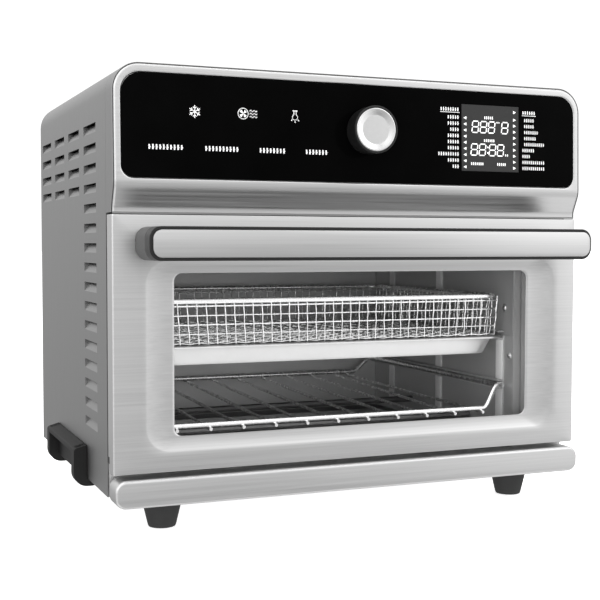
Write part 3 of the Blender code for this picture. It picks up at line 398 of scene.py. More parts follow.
# ---------------------------------------------------------------- casing
COLUMN_FRONT, COLUMN_PITCH, SLOT_LENGTH = 0.0560, 0.0693, 0.0490
ROW_TOP, ROW_PITCH, SLOT_HEIGHT, SLOT_DEPTH, SLOT_GAP = 0.3343, 0.0165, 0.0078, 0.0045, 0.0004
FRONT_ROWS, OTHER_ROWS, COLUMNS = 16, 4, 4


def shoulder():
    """The round between the left side and the top, as (x, z) points."""
    return [tuple(point) for point in arc((-HALF + TOP_RADIUS, HEIGHT - TOP_RADIUS), TOP_RADIUS, 180, 90, 16)]


def outer_shell():
    """The wrap, with louvres pressed into both sides: ramps that each leave a slot open along the top."""
    low_corner, high_corner = node_box("outer_shell")
    left = [(-HALF, low_corner.z)]
    louvre_at = {}
    for row in reversed(range(FRONT_ROWS)):
        top = ROW_TOP - row * ROW_PITCH
        louvre_at[len(left)] = row
        left += [(-HALF, top - SLOT_HEIGHT), (-HALF, top)]
    left += shoulder()
    path = left + mirrored(left)
    last = len(path) - 1
    louvre_at.update({last - 1 - index: row for index, row in louvre_at.items()})

    ends = [low_corner.y]
    for column in range(COLUMNS):
        start = COLUMN_FRONT + column * COLUMN_PITCH
        ends += [start, start + SLOT_LENGTH]
    ends.append(high_corner.y)

    shell = Shape()
    for index in range(last):
        (x0, z0), (x1, z1) = path[index], path[index + 1]
        row = louvre_at.get(index)
        for gap in range(len(ends) - 1):
            y0, y1 = ends[gap], ends[gap + 1]
            rows_here = FRONT_ROWS if gap < 2 else OTHER_ROWS
            if row is None or gap % 2 == 0 or row >= rows_here:
                shell.add([(x0, y0, z0), (x0, y1, z0), (x1, y1, z1), (x1, y0, z1)], [(0, 1, 2, 3)])
                continue
            foot_z, head_z = min(z0, z1), max(z0, z1)
            inner_x = x0 + (SLOT_DEPTH if x0 < 0 else -SLOT_DEPTH)
            feet = [(x0, y, foot_z) for y in (y0, y1)]
            heads = [(inner_x, y, head_z - SLOT_GAP) for y in (y0, y1)]
            shell.add([feet[0], feet[1], heads[1], heads[0]], [(0, 1, 2, 3)])
            for foot_point, head_point, y in zip(feet, heads, (y0, y1)):
                shell.add([foot_point, head_point, (x0, y, head_z)], [(0, 1, 2)])
    flat_within, sheet = 7, 0.0010
    obj = thicken(smooth(shell.object("shell_wrap"), flat_within), sheet)
    return finished(obj, SIDE, "oven_body", ["outer_shell"])


def screw(shape, place, radius=0.0034, proud=0.0016):
    """A pan-head screw that stands out at the back."""
    profile = [(0, 0), (radius, 0), (radius, -proud * 0.5), (radius * 0.72, -proud), (0, -proud)]
    shape.lathe(profile, place, 20)


def rear_details():
    """Screws round the rear panel: three along its top and its bottom, and two down each side."""
    back = node_box("rear_panel")[1].y
    along = [(x, z) for x in (-0.195, 0.0, 0.195) for z in (0.050, 0.361)]
    down = [(x, z) for x in (-0.205, 0.205) for z in (0.140, 0.250)]
    shape = Shape()
    for x, z in along + down:
        screw(shape, (x, back, z))
    return finished(smooth(shape.object("rear_screws")), ZINC, "oven_body")


def foot(name, cad_node):
    """A rubber foot: a narrow tread that widens to a knee and a broad top."""
    low, high = node_box(cad_node)
    middle, top = (low + high) / 2, high.z
    tread, knee, broad, edge = 0.0112, 0.0152, 0.0182, 0.0006
    profile = [(0, 0.0004), (tread * 0.6, 0.0002), (tread, 0.0012), (tread + edge, 0.0024)]
    profile += [(knee, 0.0165), (broad, top - edge), (broad - edge, top), (0, top)]
    shape = Shape().lathe(profile, (middle.x, middle.y, 0), 56, upright=True)
    return finished(smooth(shape.object(name), 40), RUBBER, "oven_body", [cad_node])


def side_handle(name, side, cad_node):
    """A carrying grip: two rounded ends, a bevelled bar across them and a plate on the shell."""
    low, high = node_box(cad_node)
    inner, outer, under = HALF + 0.0003, HALF + 0.0120, HALF - 0.0085
    face, shoulder_z, shell_foot = outer - 0.0004, high.z - 0.0032, 0.0318
    bar_low, plate_low, plate_top = 0.0540, 0.0578, 0.0600

    def outline(*corners):
        return [(side * x, z) for x, z in rounded(corners, 10)]

    end_outline = outline(
        (inner, high.z, 0.0004),
        (face, shoulder_z, 0.0030),
        (outer, low.z, 0.0120),
        (under, low.z, 0.0040),
        (under, shell_foot, 0.0006),
        (inner, shell_foot, 0.0003),
    )
    bar_outline = outline(
        (inner, high.z, 0.0004),
        (face, shoulder_z, 0.0022),
        (face, bar_low, 0.0010),
        (outer - 0.0030, bar_low, 0.0008),
        (outer - 0.0034, bar_low + 0.0015, 0.0010),
        (inner + 0.0010, plate_low, 0.0003),
        (inner, plate_low, 0.0003),
    )
    shape = Shape().prism(bar_outline, low.y + 0.002, high.y - 0.002)
    shape.box((side * inner, low.y + 0.001, 0.0325), (side * (inner + 0.0020), high.y - 0.001, plate_top))
    grip = bevel(smooth(shape.object(name), 30), 0.0005)
    finished(grip, HANDLE_PLASTIC, "oven_body", [cad_node])
    end_width = 0.0118
    for end, y in (("front", low.y), ("rear", high.y - end_width)):
        plate = Shape().prism(end_outline, y, y + end_width).object(f"{name}_{end}_end")
        finished(bevel(smooth(plate, 30), 0.0012, 4, 50), HANDLE_PLASTIC, "oven_body")


# ---------------------------------------------------------------- control panel
FASCIA_LOW = node_box("control_fascia")[0].z
FASCIA_BACK = node_box("control_fascia")[1].y
TOP_Y, CHIN_Y = -0.0041, -0.0062
CHIN_HIGH, CHIN_LOW, LIP_Y = 0.2845, 0.2640, 0.0015
LEAN = (TOP_Y - CHIN_Y) / (HEIGHT - 0.004 - CHIN_HIGH)
GLASS_LOW, GLASS_HIGH = node_box("control_glass")[0].z, node_box("control_glass")[1].z
GLASS_HALF = node_box("control_glass")[1].x


def chin_profile():
    """The fascia's face below the glass: (y, z) from the lip above the door up to the leaning face."""
    chamfer, crease_length, round_length, steps = 0.0006, 0.0012, 0.0042, 8
    knee = Vector((CHIN_Y, CHIN_HIGH - 0.0040))
    crease = Vector((LIP_Y, CHIN_LOW))
    slope = Vector((CHIN_Y - LIP_Y, CHIN_HIGH - 0.0040 - CHIN_LOW)).normalized()
    start = knee - slope * round_length
    end = knee + Vector((LEAN, 1)).normalized() * round_length
    profile = [(LIP_Y + chamfer, FASCIA_LOW), (LIP_Y, FASCIA_LOW + chamfer)]
    profile += [crease + Vector((0, -1)) * crease_length, crease + slope * crease_length]
    for step in range(steps + 1):
        part = step / steps
        profile.append(start * (1 - part) ** 2 + knee * 2 * part * (1 - part) + end * part * part)
    return profile


def face_y(z):
    """How far forward the fascia's face stands at a height."""
    profile = chin_profile()
    for (y0, z0), (y1, z1) in zip(profile, profile[1:]):
        if z <= z1:
            return y0 + (y1 - y0) * (z - z0) / (z1 - z0)
    y, last_z = profile[-1]
    return y + (z - last_z) * LEAN


def fascia_stops():
    """The fascia's outline from its lower left corner, over the top, with a stop at each profile height."""
    heights = [z for y, z in chin_profile()] + [0.300, 0.320, 0.340]
    left = [(-HALF, z) for z in heights] + shoulder()
    return left + mirrored(left)


def inset_stops(stops, inset):
    """Moves an open run of points inwards, square to the run."""
    moved = []
    for index, (x, z) in enumerate(stops):
        before = Vector(stops[max(index - 1, 0)])
        after = Vector(stops[min(index + 1, len(stops) - 1)])
        along = (after - before).normalized()
        moved.append((x + along.y * inset, z - along.x * inset))
    return moved


def fascia():
    """The steel front of the control panel: a wrap, a dark sheet in the groove that paints its shade, and a
    rounded bezel with a curved chin.
    """
    stops = fascia_stops()
    strip, groove, edge, sheet = 0.0003, 0.0005, 0.0022, 0.0006
    wrap_front, groove_shade_depth, bezel_depth = 0.0009, 0.0026, 0.0034

    def run(inset, depth):
        return [(x, face_y(z) + depth, z) for x, z in inset_stops(stops, inset)]

    behind = [(x, FASCIA_BACK, z) for x, z in stops]
    wrap = Shape().loft([behind, run(0, wrap_front + strip), run(strip, wrap_front)], False)
    finished(thicken(smooth(wrap.object("fascia_wrap"), 30), sheet), SIDE, "oven_body")
    # Painted shade: a near-black sheet at the bottom of the groove between the wrap and the bezel stands for
    # the groove's shade.
    groove_shade = Shape().loft([run(strip - 0.0002, groove_shade_depth), run(strip + groove + sheet, groove_shade_depth)], False)
    finished(thicken(groove_shade.object("fascia_groove_shade"), 0.0004), HANDLE_SIDE, "oven_body")

    bezel = Shape()
    rings = [run(strip + groove, bezel_depth)]
    for turn in quarter(6):
        rings.append(run(strip + groove + edge * (1 - math.cos(turn)), edge * (1 - math.sin(turn))))
    bezel.loft(rings, False)
    inner = rings[-1]
    chin_count = len(chin_profile())
    for index in range(chin_count - 1):
        left, right = inner[index : index + 2], [inner[-1 - index], inner[-2 - index]]
        bezel.add([left[0], right[0], right[1], left[1]], [(0, 1, 2, 3)])
    fill_between(bezel, inner[chin_count - 1 : len(inner) - chin_count + 1], glass_mouth()[0])
    bezel.loft(glass_mouth())
    obj = weighted(smooth(bezel.object("fascia_bezel"), 30))
    return finished(obj, BRUSHED, "oven_body", ["control_fascia"])


def glass_mouth():
    """Loops of the bezel's opening: a rounded rim, a wall beside the glass and a ledge behind it."""
    rim, gap, ledge_depth, ledge = 0.0012, 0.0003, 0.0036, 0.0015
    stops = [(gap + rim * (1 - math.sin(turn)), rim * (1 - math.cos(turn))) for turn in quarter(5)]
    stops += [(gap, ledge_depth), (-ledge, ledge_depth)]
    return [[(x, face_y(z) + depth, z) for x, z in glass_outline(grown)] for grown, depth in stops]


def glass_outline(grown):
    half, low, high = GLASS_HALF + grown, GLASS_LOW - grown, GLASS_HIGH + grown
    return rectangle(half, low, high, radius=0.010, top_radius=0.016, steps=12)


def fill_between(shape, outer, inner):
    """Triangles over the flat ring between two closed loops."""
    bm = bmesh.new()
    edges = []
    for loop in (outer, inner):
        ring = [bm.verts.new(point) for point in loop]
        edges += [bm.edges.new((ring[index - 1], ring[index])) for index in range(len(ring))]
    bmesh.ops.triangle_fill(bm, edges=edges, use_beauty=True)
    bm.verts.index_update()
    faces = [[vert.index for vert in face.verts] for face in bm.faces]
    shape.add([vert.co.copy() for vert in bm.verts], faces)
    bm.free()


# ---------------------------------------------------------------- printed marks and display
PRINT_BACK, PRINT_FRONT = 0.00003, 0.00012


def mark(shape, outline):
    """A thin printed patch that stands just in front of the leaning face of the control glass."""
    loops = [[(x, face_y(z) - lift, z) for x, z in outline] for lift in (PRINT_BACK, PRINT_FRONT)]
    shape.loft(loops, caps=BOTH_ENDS)


def stroke(shape, start, end, width):
    start, end = Vector(start), Vector(end)
    along = (end - start).normalized() * width / 2
    side = Vector((-along.y, along.x))
    mark(shape, [start - along - side, end + along - side, end + along + side, start - along + side])


def polyline(shape, points, width):
    for start, end in zip(points, points[1:]):
        stroke(shape, start, end, width)


def word(shape, left, middle, letters, pitch, height):
    """Plain blocks in place of printed letters: a stem and a short arm for each, in shares of the pitch."""
    stem, stem_width, arm_start, arm_end, arm_width, low_letter = 0.34, 0.40, 0.30, 0.62, 0.22, 0.88
    raised, slant = 0.0003, 0.0006
    for index in range(letters):
        x = left + index * pitch
        half = height * (1.0 if index % 3 else low_letter) / 2
        stem_x, arm_z = x + pitch * stem, middle + (index % 2) * slant
        stroke(shape, (stem_x, middle - half + raised), (stem_x, middle + half), pitch * stem_width)
        stroke(shape, (x + pitch * arm_start, arm_z), (x + pitch * arm_end, middle), pitch * arm_width)


# The three signs are drawn in shares of their size.
def snowflake(shape, x, z, size):
    centre = Vector((x, z))
    for step in range(6):
        out = heading(60 * step + 30)
        side = Vector((-out.y, out.x))
        stroke(shape, centre + out * size * 0.12, centre + out * size, size * 0.13)
        root = centre + out * size * 0.5
        for hand in (-1, 1):
            stroke(shape, root, root + (out + side * hand) * size * 0.26, size * 0.12)


def fan_mark(shape, x, z, size):
    polyline(shape, arc((x, z), size, 0, 360, 24), size * 0.13)
    for step in range(4):
        turn = 90 * step + 20
        mark(shape, arc((x, z), size * 0.74, turn, turn + 46, 4) + [Vector((x, z))])
    for row in (-1, 0, 1):
        points = []
        for step in range(13):
            along = step / 12
            wave = math.sin(along * 4 * math.pi) * 0.14
            points.append((x + size * (1.35 + 1.35 * along), z + size * (row * 0.55 + wave)))
        polyline(shape, points, size * 0.13)


def lamp_mark(shape, x, z, size):
    centre, width = Vector((x, z - size * 0.25)), size * 0.12
    polyline(shape, arc(centre, size * 0.5, -230, 50, 16), width)
    for side in (-0.22, 0.22):
        stroke(shape, (x + size * side, z + size * 0.25), (x + size * side, z + size * 0.75), width)
    stroke(shape, (x - size * 0.4, z + size * 0.9), (x + size * 0.4, z + size * 0.9), size * 0.14)
    for step in range(3):
        out = heading(-140 + 50 * step)
        stroke(shape, centre + out * size * 0.75, centre + out * size * 0.95, width)


KEY_ROW_Z, KEY_PITCH, KEY_LETTER = 0.3103, 0.0029, 0.0031
KEYS = ((-0.1872, 10), (-0.1411, 10), (-0.0952, 8), (-0.0549, 7))
SIGN_Z = 0.3390
SIGNS = (
    (snowflake, -0.1492, 0, 0.0047),
    (fan_mark, -0.1088, 0.0003, 0.0043),
    (lamp_mark, -0.0640, 0.0004, 0.0045),
)
LIST_PITCH, LIST_LETTER, LIST_ROWS = 0.00235, 0.0024, 9
HEADING_Z, LIST_TOP_Z, LIST_LOW_Z = 0.3516, 0.3449, 0.3024
LEFT_LETTERS = (5, 5, 4, 5, 5, 5, 9, 5, 3)
RIGHT_LETTERS = (5, 5, 7, 6, 10, 6, 4, 11, 11)
LIST_LEFT_X, LIST_RIGHT_X = 0.0898, 0.1538


def list_row(index):
    return LIST_TOP_Z + (LIST_LOW_Z - LIST_TOP_Z) * index / (LIST_ROWS - 1)


def printed_marks():
    """Signs over the touch keys and the two lists beside the display, as plain blocks without lettering."""
    shape = Shape()
    for sign, x, raised, size in SIGNS:
        sign(shape, x, SIGN_Z + raised, size)
    for left, letters in KEYS:
        word(shape, left, KEY_ROW_Z, letters, KEY_PITCH, KEY_LETTER)
    under, line = HEADING_Z - LIST_LETTER, 0.0004
    for left, letters in ((LIST_LEFT_X - 8 * LIST_PITCH, 8), (LIST_RIGHT_X, 6)):
        word(shape, left, HEADING_Z, letters, LIST_PITCH, LIST_LETTER)
        stroke(shape, (left, under), (left + letters * LIST_PITCH, under), line)
    indented_rows, indent, narrow = 5, 0.0019, 0.92
    for index, (left, right) in enumerate(zip(LEFT_LETTERS, RIGHT_LETTERS)):
        z = list_row(index)
        word(shape, LIST_LEFT_X - left * LIST_PITCH, z, left, LIST_PITCH, LIST_LETTER)
        right_x = LIST_RIGHT_X + (indent if index < indented_rows else 0.0)
        word(shape, right_x, z, right, LIST_PITCH * narrow, LIST_LETTER)
    return finished(shape.object("panel_print"), PRINT, "oven_body")


ACROSS_BARS = ((0, 1, 1, 1), (0, 0.5, 1, 0.5), (0, 0, 1, 0))
UPRIGHT_BARS = ((0, 0.5, 0, 1), (0, 0, 0, 0.5), (1, 0.5, 1, 1), (1, 0, 1, 0.5))
DIGIT_WIDTH, DIGIT_HEIGHT, DIGIT_THICK, DIGIT_SLANT = 0.0062, 0.0098, 0.0011, 0.0008
UPPER_DIGITS, LOWER_DIGITS = (0.1023, 0.1105, 0.1187, 0.1322), (0.1012, 0.1094, 0.1196, 0.1278)
COLON_X, COLON_Z, COLON_SIZE = 0.1183, (0.3152, 0.3200), 0.0012
# (left, middle, letters, pitch, height) of each small word in the display
DISPLAY_WORDS = (
    (0.1147, 0.3456, 5, 0.0019, 0.0021),
    (0.1143, 0.3257, 6, 0.0019, 0.0021),
    (0.1012, 0.3052, 7, 0.0019, 0.0021),
    (0.1277, 0.3052, 5, 0.0019, 0.0021),
    (0.1268, 0.3418, 3, 0.0013, 0.0010),
    (0.1358, 0.3133, 2, 0.0019, 0.0016),
)


def digit(shape, left, low):
    """Seven lit bars of a figure eight, each drawn in at both ends so that the bars stay apart."""
    for x0, z0, x1, z1 in ACROSS_BARS + UPRIGHT_BARS:
        ends = []
        for x, z, other_x, other_z in ((x0, z0, x1, z1), (x1, z1, x0, z0)):
            inward_x = DIGIT_THICK * ((other_x > x) - (other_x < x))
            inward_z = DIGIT_THICK * ((other_z > z) - (other_z < z))
            bar_x = left + x * DIGIT_WIDTH + z * DIGIT_SLANT
            ends.append((bar_x + inward_x, low + z * DIGIT_HEIGHT + inward_z))
        stroke(shape, *ends, DIGIT_THICK * 0.8)


def display_marks():
    """Figures in the middle of the display and small arrows down both of its sides."""
    shape = Shape()
    for lefts, low in ((UPPER_DIGITS, 0.3326), (LOWER_DIGITS, 0.3128)):
        for left in lefts:
            digit(shape, left, low)
    for z in COLON_Z:
        stroke(shape, (COLON_X, z), (COLON_X + 0.00005, z), COLON_SIZE)
    for text_block in DISPLAY_WORDS:
        word(shape, *text_block)
    rows = [list_row(index) for index in range(LIST_ROWS)]
    arrow, left_tip, right_tip, length = 0.0013, 0.0939, 0.1472, 0.0028
    for z in rows:
        mark(shape, [(left_tip, z), (left_tip + length, z - arrow), (left_tip + length, z + arrow)])
    for z in [HEADING_Z] + rows:
        mark(shape, [(right_tip, z), (right_tip - length, z + arrow), (right_tip - length, z - arrow)])
    return finished(shape.object("display_marks"), LIT, "oven_body")


# ---------------------------------------------------------------- dial
KNOB_LOW, KNOB_TOP = node_box("control_knob")
KNOB_X, KNOB_Z = (KNOB_LOW.x + KNOB_TOP.x) / 2, (KNOB_LOW.z + KNOB_TOP.z) / 2
KNOB_RADIUS = (KNOB_TOP.x - KNOB_LOW.x) / 2
KNOB_FRONT, KNOB_BACK = -KNOB_LOW.y, -KNOB_TOP.y
CAP_RADIUS = (node_box("knob_cap")[1].x - node_box("knob_cap")[0].x) / 2
CAP_SEAT = KNOB_FRONT - 0.0013


def dial_body():
    """The knob's barrel with a fine rim, in front of a groove and a ring."""
    radius, rim, chamfer, shoulder_edge = KNOB_RADIUS, 0.0007, 0.0003, 0.0004
    ring_radius, groove_radius = radius - 0.0006, radius - 0.0022
    groove_low, groove_high = KNOB_BACK + 0.0042, KNOB_BACK + 0.0050
    bore, bore_end, mouth = 0.0040, KNOB_BACK + 0.01, CAP_RADIUS + 0.0002
    profile = [(bore, KNOB_BACK), (ring_radius - chamfer, KNOB_BACK), (ring_radius, KNOB_BACK + chamfer)]
    profile += [(ring_radius, groove_low - chamfer), (ring_radius - chamfer, groove_low)]
    profile += [(groove_radius, groove_low), (groove_radius, groove_high)]
    profile += [(radius - shoulder_edge, groove_high), (radius, groove_high + shoulder_edge)]
    profile += [(radius, KNOB_FRONT - rim)]
    for turn in (0.5, 1.0, 1.57):
        profile.append((radius - rim + rim * math.cos(turn), KNOB_FRONT - rim + rim * math.sin(turn)))
    profile += [(mouth, KNOB_FRONT), (mouth, CAP_SEAT), (0, CAP_SEAT), (0, bore_end), (bore, bore_end)]
    body = Shape().lathe(profile, (KNOB_X, 0, KNOB_Z), 96).object("dial_body")
    finished(smooth(body, 30), PLASTIC, "dial", ["control_knob"])


def dial_cap():
    """The turned cap: a soft dish round a flat middle."""
    flat, dish, step_down, slip, steps = 0.0100, 0.0014, 0.0001, 0.0001, 12
    edge, dish_radius = KNOB_FRONT - slip, CAP_RADIUS - 0.0005
    profile = [(0, CAP_SEAT + slip), (CAP_RADIUS, CAP_SEAT + slip), (CAP_RADIUS, edge - 0.0004)]
    for step in range(steps + 1):
        part = step / steps
        fall = 0.35 * part + 0.65 * eased(part)
        profile.append((dish_radius - (dish_radius - flat) * part, edge - dish * fall))
    profile += [(flat - 0.0003, edge - dish - step_down), (0, edge - dish - step_down)]
    cap = Shape().lathe(profile, (KNOB_X, 0, KNOB_Z), 96).object("dial_cap")
    finished(smooth(cap, 50), CAP, "dial", ["knob_cap"])


# ---------------------------------------------------------------- door
SKIN_LOW, SKIN_HIGH = node_box("door_skin")
DOOR_BACK = 0.016
# Each rectangle is (half width, low, high, corner radius, middle).
WINDOW = (0.165, 0.0808, 0.2118, 0.007, 0)
FUNNEL = (0.1915, 0.0690, 0.2225, 0.020, 0.0025)
SLOPE_DEPTH = 0.0022


def ring(half, low, high, radius, middle, depth):
    return [(x, depth, z) for x, z in rectangle(half, low, high, radius, middle=middle, steps=12)]


def between(outer, inner, part):
    """A rectangle that lies between two others."""
    return [first + (second - first) * part for first, second in zip(outer, inner)]


def rolled_edge(outer, inner, front, edge):
    """Loops that roll a sheet from its sides over to its front face."""
    loops = []
    for turn in quarter(8, 1):
        loops.append(ring(*between(outer, inner, 1 - math.cos(turn)), front + edge * (1 - math.sin(turn))))
    return loops


def door_front():
    """The pressed door: rolled outer edges, a flat frame and a soft funnel down to the window."""
    edge, corner, sheet = 0.0017, 0.0012, 0.0008
    outside = (SKIN_HIGH.x, SKIN_LOW.z, SKIN_HIGH.z, corner, 0)
    rolled = (SKIN_HIGH.x - edge, SKIN_LOW.z + edge * 0.5, SKIN_HIGH.z - edge * 0.5, corner, 0)
    loops = [ring(*outside, SKIN_HIGH.y), ring(*outside, edge)]
    loops += rolled_edge(outside, rolled, 0, edge)
    loops.append(ring(*between(rolled, FUNNEL, 0.80), 0))
    steps, steepness = 14, 1.9
    for step in range(steps + 1):
        part = step / steps
        loops.append(ring(*between(FUNNEL, WINDOW, part), SLOPE_DEPTH * (1 - (1 - part) ** steepness)))
    lip = between(FUNNEL, WINDOW, 1.02)
    loops += [ring(*lip, SLOPE_DEPTH + 0.0003), ring(*lip, SLOPE_DEPTH + 0.0011)]
    obj = Shape().loft(loops).object("door_front")
    clear_hinges(obj)
    return finished(thicken(smooth(obj, 40), sheet), BRUSHED, "door", ["door_skin"])


def clear_hinges(obj):
    """Cuts the door's folded edge away where it would meet the hinge brackets as the door opens."""
    beyond, fold_depth, fold_height = 1, 0.0120, 0.0131
    notched(obj, (-beyond, fold_depth, 0), (beyond, beyond, SKIN_LOW.z + fold_height))
    half, notch_front, notch_back, notch_height = 0.0056, 0.0005, 0.0300, 0.0030
    for hinge in ("hinge_bracket_left", "hinge_bracket_right"):
        middle = (node_box(hinge)[0].x + node_box(hinge)[1].x) / 2
        notched(obj, (middle - half, notch_front, 0), (middle + half, notch_back, SKIN_LOW.z + notch_height))


def pull_handle():
    """The bar across the door, on two end posts, with a brushed face let into its front."""
    low, high = node_box("handle_grip")
    face_low, face_high = node_box("handle_face")
    middle, half = (low.x + high.x) / 2, (high.x - low.x) / 2
    radius, inner_radius, post, bar_back = 0.0095, 0.001, 0.015, -0.0300
    outline = rectangle(half, low.z, high.z, radius, middle=middle, steps=14)
    bar = Shape().prism(outline, low.y, bar_back).object("grip_bar")
    finished(bevel(smooth(bar, 30), 0.0009, 4), PLASTIC, "door", ["handle_grip"])
    for side, name in ((-1, "grip_post_left"), (1, "grip_post_right")):
        outer, inner = middle + side * half, middle + side * (half - post)
        corners = [(outer, low.z, radius), (inner, low.z, inner_radius)]
        corners += [(inner, high.z, inner_radius), (outer, high.z, radius)]
        leg = Shape().prism(rounded(corners, 14), bar_back + 0.0001, high.y).object(name)
        finished(bevel(smooth(leg, 30), 0.0007, 3, 50), HANDLE_SIDE, "door")

    inset, edge = face_low.x - low.x, 0.0007
    half, radius = half - inset, radius - inset + 0.0004
    stops = [(0, face_high.y), (0, face_low.y + edge)]
    stops += [(-edge * 0.3, face_low.y + edge * 0.25), (-edge, face_low.y)]
    loops = []
    for grown, depth in stops:
        low, high = face_low.z - grown, face_high.z + grown
        outline = rectangle(half + grown, low, high, radius, middle=middle, steps=14)
        loops.append([(x, depth, z) for x, z in outline])
    face = smooth(Shape().loft(loops, caps=BOTH_ENDS).object("grip_face"), 20)
    finished(face, FACE_STEEL, "door", ["handle_face"])


# ---------------------------------------------------------------- what slides
def tray_front():
    """The crumb drawer's front, a sheet with all its edges rolled back."""
    low, high = node_box("crumb_tray_front")
    edge, corner, sheet = 0.0024, 0.0090, 0.0009
    outside = (high.x, low.z, high.z, corner, 0)
    front = (high.x - edge, low.z + edge, high.z - edge, corner - edge, 0)
    loops = [ring(*outside, high.y), ring(*outside, low.y + edge)] + rolled_edge(outside, front, low.y, edge)
    obj = thicken(smooth(Shape().loft(loops, caps=(-1,)).object("tray_front"), 30), sheet)
    return finished(obj, BRUSHED, "crumb_drawer", ["crumb_tray_front"])


WIRE, ROD = 0.0024, 0.0015
RACK_LOW, RACK_HIGH = node_box("oven_rack")
RACK_FRONT, RACK_BACK, RACK_LEVEL = 0.030, 0.296, 0.1047
RACK_Z, RACK_FLAT_HALF, RACK_STOP_Z, RACK_STOP_HALF = 0.0842, 0.1435, 0.0905, 0.1300
RACK_PITCH, RACK_RODS = 0.0291, 11
RACK_RAIL = (RACK_HIGH.x - RACK_LOW.x) / 2 - WIRE


def dipped(y, flat_half, flat_z):
    """Points of a wire that drops from the side rails in an S-bend to its flat middle."""
    start, steps, bend_start, bend_share = RACK_RAIL - 0.0010, 16, 0.15, 0.65
    side = []
    for step in range(steps + 1):
        part = step / steps
        drop = eased(min(max((part - bend_start) / bend_share, 0), 1))
        side.append((start + (flat_half - start) * part, RACK_LEVEL + (flat_z - RACK_LEVEL) * drop))
    return [(CAVITY_X + x, y, z) for x, z in side + mirrored(side)]


def wire_rack():
    """The rack: two cross wires, two rails in the guides, and rods that rise to the stop at the back."""
    shape = Shape()
    shape.wire(dipped(RACK_FRONT, RACK_FLAT_HALF, RACK_Z), WIRE, 14)
    shape.wire(dipped(RACK_BACK, RACK_STOP_HALF, RACK_STOP_Z), WIRE, 14)
    for side in (-1, 1):
        x = CAVITY_X + side * RACK_RAIL
        shape.wire([(x, RACK_FRONT - 0.0022, RACK_LEVEL), (x, RACK_BACK + 0.0014, RACK_LEVEL)], WIRE, 14)
    drop, reach = WIRE + ROD * 0.6, 0.0036
    for index in range(RACK_RODS):
        across = (index - (RACK_RODS - 1) / 2) * RACK_PITCH
        last = CAVITY_X + max(-RACK_STOP_HALF, min(RACK_STOP_HALF, across))
        front = (CAVITY_X + across, RACK_FRONT - reach, RACK_Z - drop)
        knee = (last, RACK_BACK - reach, RACK_STOP_Z - drop)
        shape.wire([front, knee, (last, RACK_BACK + 0.0030, RACK_STOP_Z - drop)], ROD, 10)
    return finished(smooth(shape.object("rack_wires"), 50), CHROME, "rack", ["oven_rack"])


def flat_ring(half, front, back, radius, z):
    return [(x, y, z) for x, y in rectangle(half, front, back, radius, middle=CAVITY_X, steps=12)]


def pan():
    """The baking pan: a rolled rim, sloping walls with soft corners and a flat floor."""
    low, high = node_box("baking_pan")
    half, clearance, sheet = (high.x - low.x) / 2, 0.0006, 0.0008
    rim_z, floor_z = high.z - clearance, low.z + clearance
    rim, side_slope, end_slope, floor_edge = 0.0060, 0.0068, 0.0065, 0.006

    def loop(inset_x, inset_y, radius, z):
        return flat_ring(half - inset_x, low.y + inset_y, high.y - inset_y, radius, z)

    loops = [loop(0, 0, 0.016, rim_z - 0.0014), loop(0, 0, 0.016, rim_z - 0.0004)]
    loops += [loop(0.0005, 0.0005, 0.016, rim_z), loop(rim - 0.0010, rim - 0.0010, 0.015, rim_z)]
    steps, wall_top = 12, rim_z - 0.0008
    for step in range(steps + 1):
        part = step / steps
        out = part + 0.10 * math.sin(math.pi * part) * (1 - part)
        z = wall_top + (floor_z - wall_top) * min(part ** 1.15 * 1.04, 1.0)
        loops.append(loop(rim + side_slope * out, rim + end_slope * out, 0.014, z))
    loops.append(loop(rim + side_slope + floor_edge, rim + end_slope + floor_edge, 0.010, floor_z))
    obj = thicken(smooth(Shape().loft(loops, caps=(-1,)).object("pan_sheet"), 40), sheet, 0)
    return finished(obj, PAN, "pan_and_basket", ["baking_pan"])


MESH_WIRE, MESH_PITCH, MESH_ROWS = 0.00052, 0.0082, 4


def crimped(run, phase):
    """Pushes (point, outward) stops to alternate sides of the sheet, with a flat point between each pair."""
    pushed = []
    for index, (point, outward) in enumerate(run):
        side = 1 if (index + phase) % 2 else -1
        pushed.append(Vector(point) + Vector(outward) * MESH_WIRE * side)
    path = []
    for first, second in zip(pushed, pushed[1:]):
        path += [first, (first + second) / 2]
    return path + [pushed[-1]]


